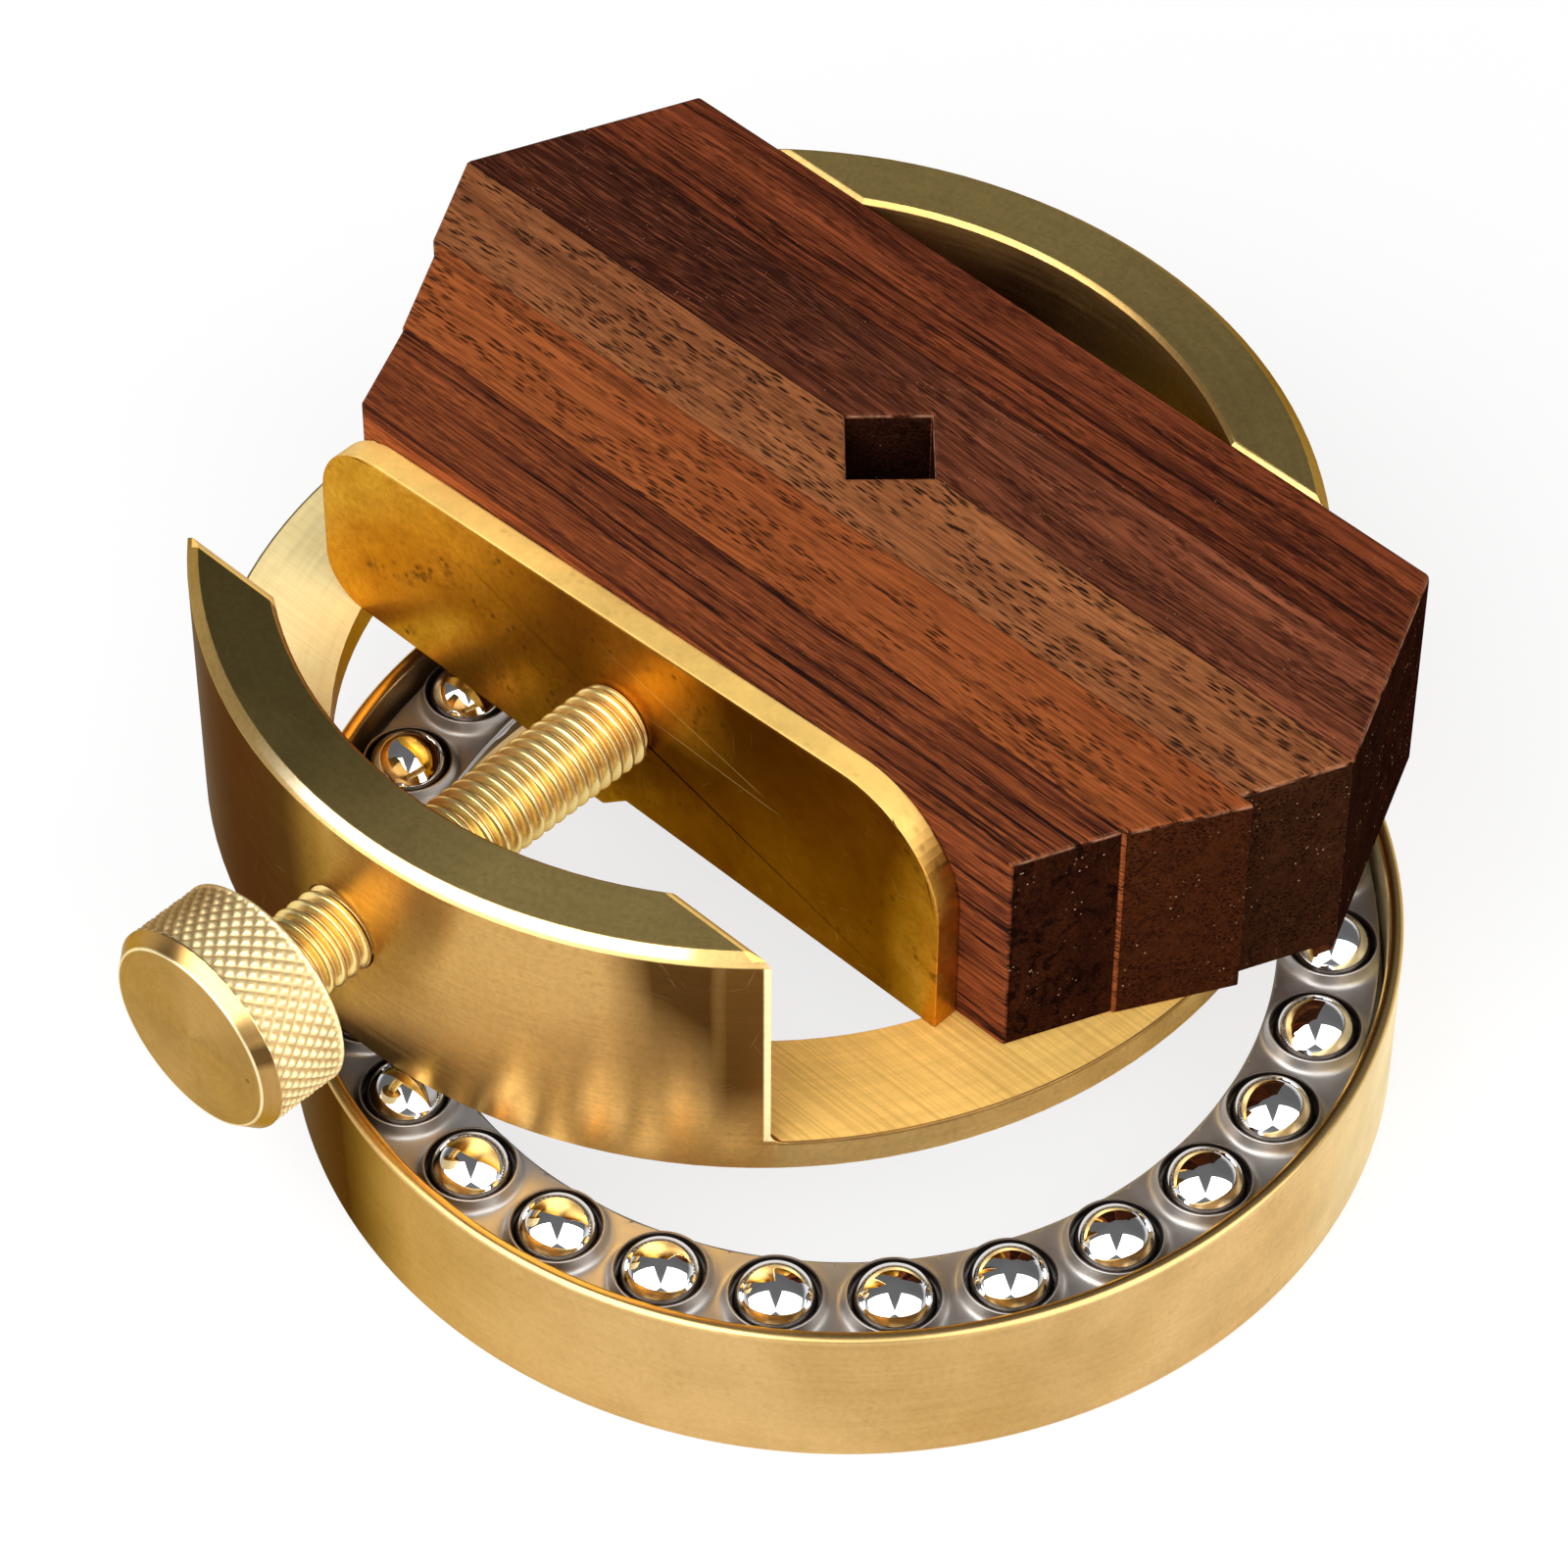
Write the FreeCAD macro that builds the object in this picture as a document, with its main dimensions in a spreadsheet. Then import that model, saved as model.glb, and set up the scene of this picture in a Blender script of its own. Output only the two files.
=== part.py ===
import FreeCAD, Part
import Sketcher
import math
import os
import re

doc = FreeCAD.newDocument("BallVise")
vec = FreeCAD.Vector

# Sizes in mm and degrees. The body sits off centre on the balls, turned by body_angle.
SIZES = [
    ("base_radius", 57.15, "outside radius of the base ring"),
    ("base_height", 18.7, "table to lip"),
    ("lip_wall", 1.55, "wall thickness at the lip"),
    ("lip_round", 0.7, "rounding of the lip"),
    ("shelf_width", 8.6, "inner shelf under the lower race"),
    ("foot_chamfer", 0.6, "chamfer round the foot"),
    ("ball_count", 27, "balls in the ring"),
    ("ball_radius", 4.3656, "11/32 in. balls"),
    ("ball_inset", 5.7, "pitch circle from the inside of the lip"),
    ("ball_proud", 0.18, "balls above the lip"),
    ("ball_play", 0.04, "play above and below the balls"),
    ("first_ball_angle", 4.8, "angle of ball 1, clockwise from +X"),
    ("race_height", 2.6, "thickness of the lower race"),
    ("race_web", 1.2088, "lower race under the groove"),
    ("race_gap", 0.2, "lower race to the base wall"),
    ("race_step", 1.0, "shelf showing inside the lower race"),
    ("groove_radius", 4.56, "section radius of the ball groove"),
    ("cage_in", 5.4, "cage inside the pitch circle"),
    ("cage_out", 5.0, "cage outside the pitch circle"),
    ("cage_sheet", 0.4, "sheet thickness of each cage half"),
    ("collar_play", 0.13, "hole round a ball"),
    ("collar_wall", 0.28, "collar wall at its rim"),
    ("collar_flare", 0.15, "foot of a collar beyond its rim"),
    ("collar_height", 1.5, "collar above the sheet"),
    ("upper_race_thick", 1.3, "thickness of the upper race"),
    ("upper_race_in", 3.4, "upper race inside the pitch circle"),
    ("upper_race_out", 7.0, "upper race outside the pitch circle"),
    ("upper_race_play", 0.06, "play of the upper race in its recess"),
    ("body_left", 8.49, "body axis to the left of the base axis"),
    ("body_away", 21.75, "body axis behind the base axis"),
    ("body_angle", 44.3, "jaw strips clockwise from +X"),
    ("body_gap", 0.05, "upper race stands proud of the body"),
    ("floor_thick", 3.86, "floor of the body"),
    ("body_rim", 0.85, "body outside the upper race"),
    ("wall_thick", 8.25, "front and back wall"),
    ("wall_height", 27.4, "walls above the floor"),
    ("floor_width", 13.15, "floor ring"),
    ("front_stock", 17.15, "outside of the body to the front of the slot"),
    ("back_stock", 15.65, "outside of the body to the back of the slot"),
    ("rim_chamfer", 1.2, "outer top chamfer"),
    ("edge_chamfer", 0.5, "chamfers on the back slot edge and the inner edges"),
    ("front_chamfer", 0.65, "chamfer on the front slot edge"),
    ("slot_round", 1.2, "cutter radius along the front of the slot floor"),
    ("screw_left", 1.5, "screw axis to the left of the body axis"),
    ("screw_depth", 15.2, "screw axis below the top of the walls"),
    ("screw_radius", 4.7625, "3/8 in. screw"),
    ("screw_play", 0.06, "radial play in the front wall"),
    ("thread_pitch", 1.5875, "16 threads per inch"),
    ("thread_depth", 0.86, "crest to root"),
    ("thread_crest", 0.12, "flat on a crest"),
    ("nose_radius", 3.0, "nose running in the plate"),
    ("nose_play", 0.06, "radial and end play of the nose"),
    ("nose_set", 0.2, "nose tip inside the back of the plate"),
    ("nose_chamfer", 0.3, "chamfer on the nose"),
    ("clip_set", 0.5, "nose tip to the clip"),
    ("clip_thick", 0.8, "retaining clip"),
    ("clip_width", 2.1, "width of the clip's ring"),
    ("clip_depth", 0.5, "depth of the clip's groove"),
    ("clip_play", 0.1, "end play of the clip"),
    ("clip_room", 0.6, "counterbore beyond the clip"),
    ("knob_gap", 9.65, "body to the inner end of the knob"),
    ("knob_length", 10.2, "length of the knob"),
    ("knob_radius", 11.5, "outside of the knob"),
    ("knob_bevel", 1.3, "width of the front bevel"),
    ("knob_bevel_length", 1.5, "length of the front bevel"),
    ("knob_rear_bevel", 0.5, "rear bevel"),
    ("stub_radius", 3.8, "end of the screw pressed into the knob"),
    ("stub_length", 6.5, "depth of the press fit"),
    ("plate_thick", 3.2, "pressure plate"),
    ("plate_left_in", 4.0, "left end of the plate inside the radius of the walls"),
    ("plate_right_in", 7.0, "right end of the plate inside the radius of the walls"),
    ("plate_drop", 4.4, "upper left end below the walls"),
    ("plate_rise", 0.9, "upper right end above the walls"),
    ("plate_round_left", 9.0, "upper left corner"),
    ("plate_round_right", 12.5, "upper right corner"),
    ("plate_round_foot", 5.0, "lower left corner"),
    ("tongue_left", 9.0, "left end of the guide tongue in the floor hole"),
    ("tongue_width", 8.0, "guide tongue"),
    ("tongue_depth", 2.9, "guide tongue below the plate"),
    ("tongue_slope", 3.3, "run of the slope at the right of the tongue"),
    ("slide_play", 0.05, "plate and moving strips above the floor"),
    ("strip_height", 27.0, "height of the strips"),
    ("strip_a", 10.66, "width of strip A"),
    ("strip_b", 11.44, "width of strip B"),
    ("strip_c", 11.12, "width of strip C"),
    ("strip_d", 12.21, "width of strip D"),
    ("strip_e", 12.23, "width of strip E"),
    ("front_left_in", 15.65, "front left corner of the block inside the body radius"),
    ("front_right_in", 8.85, "front right corner inside the body radius"),
    ("point_left_out", 3.05, "left point of the block outside the body radius"),
    ("point_right_out", 5.85, "right point outside the body radius"),
    ("back_left_in", 7.35, "back left corner inside the body radius"),
    ("back_right_in", 5.15, "back right corner inside the body radius"),
    ("strip_a_short", 1.1, "strip A short of the block at its back left corner"),
    ("strip_b_short", 0.9, "strip B short of the block on the left"),
    ("strip_b_out", 0.3, "strip B beyond the block at its front right corner"),
    ("strip_b_proud", 1.75, "strip B beyond the block at its back right corner"),
    ("pocket_right", 1.2, "square pocket to the right of the body axis"),
    ("pocket_side", 9.05, "side of the square pocket"),
]

# what fits or lines up with another piece follows from the sizes above
DERIVED = [
    ("lip_inner", "base_radius - lip_wall"),
    ("shelf_radius", "lip_inner - shelf_width"),
    ("ball_circle", "lip_inner - ball_inset"),
    ("ball_level", "base_height + ball_proud - ball_radius"),
    ("shelf_height", "ball_level - ball_radius - ball_play - race_web"),
    ("race_top", "shelf_height + race_height"),
    ("race_inner", "shelf_radius + race_step"),
    ("race_outer", "lip_inner - race_gap"),
    ("cage_inner", "ball_circle - cage_in"),
    ("cage_outer", "ball_circle + cage_out"),
    ("collar_bore", "ball_radius + collar_play"),
    ("collar_rim", "collar_bore + collar_wall"),
    ("collar_foot", "collar_rim + collar_flare"),
    ("race_low", "ball_level + ball_radius + ball_play"),
    ("upper_race_inner", "ball_circle - upper_race_in"),
    ("upper_race_outer", "ball_circle + upper_race_out"),
    ("recess_roof", "race_low + upper_race_thick + upper_race_play"),
    ("body_low", "race_low + body_gap"),
    ("floor_top", "body_low + floor_thick"),
    ("body_top", "floor_top + wall_height"),
    ("body_radius", "upper_race_outer + body_rim"),
    ("wall_inner", "body_radius - wall_thick"),
    ("floor_bore", "body_radius - floor_width"),
    ("front_chord", "body_radius - front_stock"),
    ("back_chord", "body_radius - back_stock"),
    ("screw_level", "body_top - screw_depth"),
    ("moving_low", "floor_top + slide_play"),
    ("strip_high", "floor_top + strip_height"),
    ("d_back", "back_chord - strip_e"),
    ("parting", "d_back - strip_d"),
    ("c_front", "parting - strip_c"),
    ("b_front", "c_front - strip_b"),
    ("a_front", "b_front - strip_a"),
    ("front_left", "body_radius - front_left_in"),
    ("front_right", "body_radius - front_right_in"),
    ("point_left", "body_radius + point_left_out"),
    ("point_right", "body_radius + point_right_out"),
    ("back_left", "body_radius - back_left_in"),
    ("back_right", "body_radius - back_right_in"),
    ("plate_back", "-a_front"),
    ("plate_left", "wall_inner - plate_left_in"),
    ("plate_right", "wall_inner - plate_right_in"),
    ("plate_front", "plate_back + plate_thick"),
    ("shoulder", "plate_front + nose_play"),
    ("nose_tip", "plate_back + nose_set"),
    ("clip_back", "nose_tip + clip_set"),
    ("clip_groove", "nose_radius - clip_depth"),
    ("clip_radius", "clip_groove + clip_width"),
    ("sink_radius", "clip_radius + clip_room"),
    ("sink_depth", "nose_set + clip_set + clip_thick + clip_play"),
    ("knob_back", "body_radius + knob_gap"),
    ("knob_front", "knob_back + knob_length"),
    ("pocket_half", "pocket_side / sqrt(2)"),
]

sheet = doc.addObject("Spreadsheet::Sheet", "Sizes")
for row, (alias, value, note) in enumerate(SIZES, 1):
    sheet.set("A%d" % row, alias)
    sheet.set("B%d" % row, str(value))
    sheet.set("C%d" % row, note)
    sheet.setAlias("B%d" % row, alias)
for row, (alias, text) in enumerate(DERIVED, len(SIZES) + 2):
    sheet.set("A%d" % row, alias)
    sheet.set("B%d" % row, "=" + text)
    sheet.setAlias("B%d" % row, alias)
doc.recompute()
ALIASES = set(row[0] for row in SIZES + DERIVED)


def size(alias):
    return float(sheet.get(alias))


def formula(text):
    def swap(match):
        word = match.group(0)
        return "Sizes." + word if word in ALIASES else word
    return re.sub(r"[a-z][a-z0-9_]*", swap, text)


def bind(obj, pairs):
    for prop, text in pairs.items():
        obj.setExpression(prop, formula(text))
    return obj


def cylinder(name, radius, low, high):
    obj = doc.addObject("Part::Cylinder", name)
    return bind(obj, {"Radius": radius, "Height": "(%s) - (%s)" % (high, low),
                      "Placement.Base.z": low})


def cone(name, radius_low, radius_high, low, high):
    obj = doc.addObject("Part::Cone", name)
    return bind(obj, {"Radius1": radius_low, "Radius2": radius_high,
                      "Height": "(%s) - (%s)" % (high, low), "Placement.Base.z": low})


def cut(name, base, tool):
    obj = doc.addObject("Part::Cut", name)
    obj.Base = base
    obj.Tool = tool
    return obj


def fuse(name, shapes):
    obj = doc.addObject("Part::MultiFuse", name)
    obj.Shapes = shapes
    return obj


def ring(name, outer, inner, low, high):
    return cut(name, cylinder(name + "_outside", outer, low, high),
               cylinder(name + "_bore", inner, low + " - 1", high + " + 1"))


def on_body(obj):
    """Moves a piece drawn about the body axis to where the body sits."""
    obj.Placement = FreeCAD.Placement(vec(0, 0, 0), FreeCAD.Rotation(vec(0, 0, 1), 1))
    return bind(obj, {"Placement.Base.x": "-body_left", "Placement.Base.y": "body_away",
                      "Placement.Rotation.Angle": "-body_angle * 1deg"})


def along_screw(obj):
    """Turns a piece drawn on +Z so that +Z points out of the front wall."""
    turn = math.radians(-size("body_angle"))
    upright = FreeCAD.Rotation(vec(1, 0, 0), 90)
    heading = FreeCAD.Rotation(vec(0, 0, 1), -size("body_angle"))
    place = vec(-size("body_left") - size("screw_left") * math.cos(turn),
                size("body_away") - size("screw_left") * math.sin(turn), size("screw_level"))
    obj.Placement = FreeCAD.Placement(place, heading.multiply(upright))
    return obj


def turned(name, profile):
    """Solid of revolution about Z from (radius, height) pairs."""
    points = [vec(r, 0, z) for r, z in profile]
    face = Part.Face(Part.makePolygon(points + points[:1]))
    obj = doc.addObject("Part::Feature", name)
    obj.Shape = face.revolve(vec(0, 0, 0), vec(0, 0, 1), 360)
    return obj


# base ring with its lip, shelf and foot
foot = fuse("foot", [
    cone("foot_edge", "base_radius - foot_chamfer", "base_radius", "0", "foot_chamfer"),
    cylinder("foot_wall", "base_radius", "foot_chamfer", "base_height")])
well = cut("well", foot, cylinder("well_tool", "lip_inner", "shelf_height",
                                  "base_height + 1"))
base_bore = cylinder("base_bore", "shelf_radius", "-1", "shelf_height + 1")
base_blank = cut("base_blank", well, base_bore)
doc.recompute()
base_ring = doc.addObject("Part::Fillet", "base_ring")
base_ring.Base = base_blank
lip_edges = []
for number, edge in enumerate(base_blank.Shape.Edges, 1):
    flat = edge.BoundBox.ZLength < 1e-6
    if flat and abs(edge.BoundBox.ZMax - size("base_height")) < 1e-6:
        lip_edges.append((number, size("lip_round"), size("lip_round")))
base_ring.Edges = lip_edges

# lower race with a groove for the balls
race_blank = ring("race_blank", "race_outer", "race_inner", "shelf_height", "race_top")
groove = doc.addObject("Part::Torus", "groove")
bind(groove, {"Radius1": "ball_circle", "Radius2": "groove_radius",
              "Placement.Base.z": "shelf_height + race_web + groove_radius"})
lower_race = cut("lower_race", race_blank, groove)


# cage of two pressed halves, with collars up on one and down on the other
def ball_angle(index):
    return math.radians(-size("first_ball_angle") + index * 360.0 / size("ball_count"))


def pocket_ring(name, make_one):
    solids = []
    for index in range(int(size("ball_count"))):
        angle = ball_angle(index)
        spot = vec(size("ball_circle") * math.cos(angle), size("ball_circle") * math.sin(angle),
                   size("ball_level"))
        solids.append(make_one(spot))
    obj = doc.addObject("Part::Feature", name)
    obj.Shape = Part.makeCompound(solids)
    return obj


def cage_half(name, side):
    flat = size("cage_sheet")
    rim = flat + size("collar_height")
    axis = vec(0, 0, side)

    def collar(spot):
        start = spot + axis * (0.5 * flat)
        return Part.makeCone(size("collar_foot"), size("collar_rim"), rim - 0.5 * flat, start, axis)

    def hole(spot):
        return Part.makeCylinder(size("collar_bore"), rim + 2, spot - axis, axis)

    low = "ball_level" if side > 0 else "ball_level - cage_sheet"
    high = "ball_level + cage_sheet" if side > 0 else "ball_level"
    flat_ring = ring(name + "_flat", "cage_outer", "cage_inner", low, high)
    joined = fuse(name + "_joined", [flat_ring, pocket_ring(name + "_collars", collar)])
    return cut(name, joined, pocket_ring(name + "_holes", hole))


cage_upper = cage_half("cage_upper", 1)
cage_lower = cage_half("cage_lower", -1)

balls = []
for index in range(int(size("ball_count"))):
    ball = doc.addObject("Part::Sphere", "ball_%02d" % (index + 1))
    angle = "(-first_ball_angle + %d * 360 / ball_count) * 1deg" % index
    bind(ball, {"Radius": "ball_radius",
                "Placement.Base.x": "ball_circle * cos(%s)" % angle,
                "Placement.Base.y": "ball_circle * sin(%s)" % angle,
                "Placement.Base.z": "ball_level"})
    balls.append(ball)

# upper race in the underside of the body
upper_race = on_body(ring("upper_race", "upper_race_outer", "upper_race_inner", "race_low",
                          "race_low + upper_race_thick"))

# body: ring with a floor, milled through between two chords
body_blank = fuse("body_blank", [
    cylinder("body_outside", "body_radius", "body_low", "body_top - rim_chamfer"),
    cone("body_rim", "body_radius", "body_radius - rim_chamfer", "body_top - rim_chamfer",
         "body_top")])
slot_block = doc.addObject("Part::Box", "slot_block")
bind(slot_block, {"Length": "4 * body_radius", "Width": "front_chord + back_chord",
                  "Height": "body_top - floor_top + 1", "Placement.Base.x": "-2 * body_radius",
                  "Placement.Base.y": "-front_chord", "Placement.Base.z": "floor_top"})
doc.recompute()
slot = doc.addObject("Part::Fillet", "slot")
slot.Base = slot_block
slot.Edges = [(number, size("slot_round"), size("slot_round"))
              for number, edge in enumerate(slot_block.Shape.Edges, 1)
              if abs(edge.BoundBox.YMax + size("front_chord")) < 1e-6
              and abs(edge.BoundBox.ZMax - size("floor_top")) < 1e-6]


def edge_tool(name, chord, angle, width):
    """Long bar that takes a 45 degree chamfer off the top edge of a slot side."""
    side = 12 * width
    middle = vec(-2 * size("body_radius"), chord, size("body_top"))
    outward = vec(0, math.cos(math.radians(angle)), math.sin(math.radians(angle)))
    across = vec(0, -math.sin(math.radians(angle)), math.cos(math.radians(angle)))
    reach = width * math.sqrt(0.5)
    bar = doc.addObject("Part::Box", name)
    bind(bar, {"Length": "4 * body_radius"})
    bar.Width = side
    bar.Height = side
    bar.Placement = FreeCAD.Placement(middle - outward * reach - across * (side / 2),
                                      FreeCAD.Rotation(vec(1, 0, 0), angle))
    return bar


recess_ring = ring("recess_ring", "upper_race_outer + upper_race_play",
                   "upper_race_inner - upper_race_play", "body_low - 1", "recess_roof")
screw_bore = doc.addObject("Part::Cylinder", "screw_bore")
screw_bore.Placement = FreeCAD.Placement(vec(0, 0, 0), FreeCAD.Rotation(vec(1, 0, 0), 90))
bind(screw_bore, {"Radius": "screw_radius + screw_play", "Height": "body_radius",
                  "Placement.Base.x": "-screw_left", "Placement.Base.y": "-front_chord / 2",
                  "Placement.Base.z": "screw_level"})
body_tools = fuse("body_tools", [
    cylinder("inner_tool", "wall_inner", "floor_top", "body_top + 1"),
    cone("inner_edge", "wall_inner", "wall_inner + 2 * edge_chamfer",
         "body_top - edge_chamfer", "body_top + edge_chamfer"),
    cylinder("floor_tool", "floor_bore", "body_low - 1", "floor_top + 1"),
    slot, screw_bore,
    edge_tool("front_edge", -size("front_chord"), 45, size("front_chamfer")),
    edge_tool("back_edge", size("back_chord"), 135, size("edge_chamfer"))])
body_open = cut("body_open", body_blank, body_tools)
vise_body = on_body(cut("vise_body", body_open, recess_ring))


# five hardwood strips; the block narrows from its two points to the front and to the back
FRONT_LEFT = "-(front_left + (%s - a_front) / (parting - a_front) * (point_left - front_left))"
FRONT_RIGHT = "(front_right + (%s - a_front) / (parting - a_front) * (point_right - front_right))"
BACK_LEFT = "-(point_left + (%s - parting) / (back_chord - parting) * (back_left - point_left))"
BACK_RIGHT = "(point_right + (%s - parting) / (back_chord - parting) * (back_right - point_right))"


def strip(name, front, back, low, left, right, moved=("0", "0", "0", "0")):
    """A bar whose ends follow the outline of the block, each corner moved along the jaws."""
    bar = doc.addObject("Part::Wedge", name)
    return bind(bar, {"Ymin": front, "Ymax": back, "Zmin": low, "Z2min": low,
                      "Zmax": "strip_high", "Z2max": "strip_high",
                      "Xmin": left % front + " + " + moved[0],
                      "X2min": left % back + " + " + moved[1],
                      "Xmax": right % front + " + " + moved[2],
                      "X2max": right % back + " + " + moved[3]})


def pocket_tool(name):
    tool = doc.addObject("Part::Box", name)
    tool.Placement = FreeCAD.Placement(vec(0, 0, 0), FreeCAD.Rotation(vec(0, 0, 1), 45))
    return bind(tool, {"Length": "pocket_side", "Width": "pocket_side",
                       "Height": "strip_height + 2", "Placement.Base.x": "pocket_right",
                       "Placement.Base.y": "parting - pocket_half",
                       "Placement.Base.z": "floor_top - 1"})


jaw_strip_a = on_body(strip("jaw_strip_a", "a_front", "b_front", "moving_low", FRONT_LEFT,
                            FRONT_RIGHT, ("0", "strip_a_short", "0", "0")))
jaw_strip_b = on_body(strip("jaw_strip_b", "b_front", "c_front", "moving_low", FRONT_LEFT,
                            FRONT_RIGHT, ("strip_b_short", "strip_b_short", "strip_b_out",
                                          "strip_b_proud")))
strip_c_bar = strip("strip_c_bar", "c_front", "parting", "moving_low", FRONT_LEFT, FRONT_RIGHT)
strip_d_bar = strip("strip_d_bar", "parting", "d_back", "floor_top", BACK_LEFT, BACK_RIGHT)
jaw_strip_c = on_body(cut("jaw_strip_c", strip_c_bar, pocket_tool("pocket_c")))
jaw_strip_d = on_body(cut("jaw_strip_d", strip_d_bar, pocket_tool("pocket_d")))
jaw_strip_e = on_body(strip("jaw_strip_e", "d_back", "back_chord", "floor_top", BACK_LEFT,
                            BACK_RIGHT))


# pressure plate between the screw and strip A
plate_body = doc.addObject("PartDesign::Body", "pressure_plate")


def plate_sketch(name):
    """Sketch on the back face of the plate: x along the strips, y up."""
    sketch = plate_body.newObject("Sketcher::SketchObject", name)
    sketch.AttachmentSupport = [(plate_body.Origin.OriginFeatures[4], "")]
    sketch.MapMode = "FlatFace"
    return bind(sketch, {"AttachmentOffset.Base.z": "plate_back"})


def rounded_outline(sketch, corners):
    """Closed outline from (x, y, corner radius), tangent arcs where the radius isn't 0."""
    ends = []
    for index, (x, y, radius) in enumerate(corners):
        here = vec(x, y, 0)
        back = (vec(*corners[index - 1][:2], 0) - here).normalize()
        ahead = (vec(*corners[(index + 1) % len(corners)][:2], 0) - here).normalize()
        half = back.getAngle(ahead) / 2
        reach = radius / math.tan(half)
        first, last = here + back * reach, here + ahead * reach
        if radius > 0:
            inward = (back + ahead).normalize()
            middle = here + inward * (radius / math.sin(half) - radius)
            sketch.addGeometry(Part.Arc(first, middle, last), False)
        ends.append((first, last))
    for index, (first, last) in enumerate(ends):
        sketch.addGeometry(Part.LineSegment(last, ends[(index + 1) % len(ends)][0]), False)


def round_hole(sketch, alias):
    spot = vec(-size("screw_left"), size("screw_level"), 0)
    index = sketch.addGeometry(Part.Circle(spot, vec(0, 0, 1), size(alias)), False)
    number = sketch.addConstraint(Sketcher.Constraint("Radius", index, size(alias)))
    return number


outline = plate_sketch("plate_outline")
tongue_right = -size("tongue_left") + size("tongue_width")
tongue_low = size("moving_low") - size("tongue_depth")
rounded_outline(outline, [
    (-size("plate_left"), size("moving_low"), size("plate_round_foot")),
    (-size("tongue_left"), size("moving_low"), 0),
    (-size("tongue_left"), tongue_low, 0),
    (tongue_right - size("tongue_slope"), tongue_low, 0),
    (tongue_right, size("moving_low"), 0),
    (size("plate_right"), size("moving_low"), 0),
    (size("plate_right"), size("body_top") + size("plate_rise"), size("plate_round_right")),
    (-size("plate_left"), size("body_top") - size("plate_drop"), size("plate_round_left"))])
nose_hole = round_hole(outline, "nose_radius")
outline.setExpression("Constraints[%d]" % nose_hole, formula("nose_radius + nose_play"))
pad = plate_body.newObject("PartDesign::Pad", "plate_pad")
pad.Profile = outline
bind(pad, {"Length": "plate_thick"})
sink_outline = plate_sketch("sink_outline")
sink_hole = round_hole(sink_outline, "sink_radius")
sink_outline.setExpression("Constraints[%d]" % sink_hole, formula("sink_radius"))
sink = plate_body.newObject("PartDesign::Pocket", "clip_sink")
sink.Profile = sink_outline
sink.Reversed = True
bind(sink, {"Length": "sink_depth"})
plate_body.Tip = sink
on_body(plate_body)
doc.recompute()
if pad.Shape.Volume - sink.Shape.Volume < 1:
    raise RuntimeError("the counterbore misses the plate")

# clamp screw with its nose, thread and pressed end
screw_profile = [(0, size("nose_tip")), (size("nose_radius") - size("nose_chamfer"), size("nose_tip")),
                 (size("nose_radius"), size("nose_tip") + size("nose_chamfer")),
                 (size("nose_radius"), size("clip_back")),
                 (size("clip_groove"), size("clip_back")),
                 (size("clip_groove"), size("clip_back") + size("clip_thick")),
                 (size("nose_radius"), size("clip_back") + size("clip_thick")),
                 (size("nose_radius"), size("shoulder")),
                 (size("screw_radius") - size("thread_depth"), size("shoulder"))]
height = size("shoulder") + 0.5 * size("thread_pitch")
while size("knob_back") - size("thread_pitch") > height:
    flank = 0.42 * size("thread_pitch")
    screw_profile += [(size("screw_radius"), height), (size("screw_radius"), height + size("thread_crest")),
                      (size("screw_radius") - size("thread_depth"), height + flank + size("thread_crest")),
                      (size("screw_radius") - size("thread_depth"),
                       height + size("thread_pitch") - flank)]
    height += size("thread_pitch")
screw_profile += [(size("screw_radius") - size("thread_depth"), size("knob_back")),
                  (size("stub_radius"), size("knob_back")),
                  (size("stub_radius"), size("knob_back") + size("stub_length")),
                  (0, size("knob_back") + size("stub_length"))]
clamp_screw = along_screw(turned("clamp_screw", screw_profile))

knob_outside = fuse("knob_outside", [
    cone("knob_rear", "knob_radius - knob_rear_bevel", "knob_radius", "knob_back",
         "knob_back + knob_rear_bevel"),
    cylinder("knob_grip", "knob_radius", "knob_back + knob_rear_bevel",
             "knob_front - knob_bevel_length"),
    cone("knob_front_edge", "knob_radius", "knob_radius - knob_bevel",
         "knob_front - knob_bevel_length", "knob_front")])
knob = along_screw(cut("knob", knob_outside, cylinder(
    "knob_bore", "stub_radius", "knob_back - 1", "knob_back + stub_length + clip_play")))

# open retaining clip on the nose
clip_blank = ring("clip_blank", "clip_radius", "clip_groove", "clip_back",
                  "clip_back + clip_thick")
clip_gap = doc.addObject("Part::Box", "clip_gap")
bind(clip_gap, {"Length": "1.6 * clip_groove", "Width": "2 * clip_radius",
                "Height": "clip_thick + 2", "Placement.Base.x": "-0.8 * clip_groove",
                "Placement.Base.z": "clip_back - 1"})
retaining_clip = along_screw(cut("retaining_clip", clip_blank, clip_gap))

doc.recompute()

PARTS = [base_ring, lower_race, cage_upper, cage_lower] + balls + [
    upper_race, vise_body, jaw_strip_a, jaw_strip_b, jaw_strip_c, jaw_strip_d, jaw_strip_e,
    plate_body, clamp_screw, knob, retaining_clip]

for obj in doc.Objects:
    if "Invalid" in obj.State or "Error" in obj.State:
        raise RuntimeError("%s does not recompute" % obj.Label)

os.makedirs("parts", exist_ok=True)
for part in PARTS:
    shape = part.Shape
    if shape.isNull() or not shape.isValid() or len(shape.Solids) != 1:
        raise RuntimeError("%s is not one sound solid" % part.Label)
    shape.exportStep("parts/%s.step" % part.Label)
    box = shape.BoundBox
    print("%-16s volume %9.1f  x %6.2f %6.2f  y %6.2f %6.2f  z %6.2f %6.2f" % (
        part.Label, shape.Volume, box.XMin, box.XMax, box.YMin, box.YMax, box.ZMin, box.ZMax))
print("%d parts" % len(PARTS))
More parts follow.
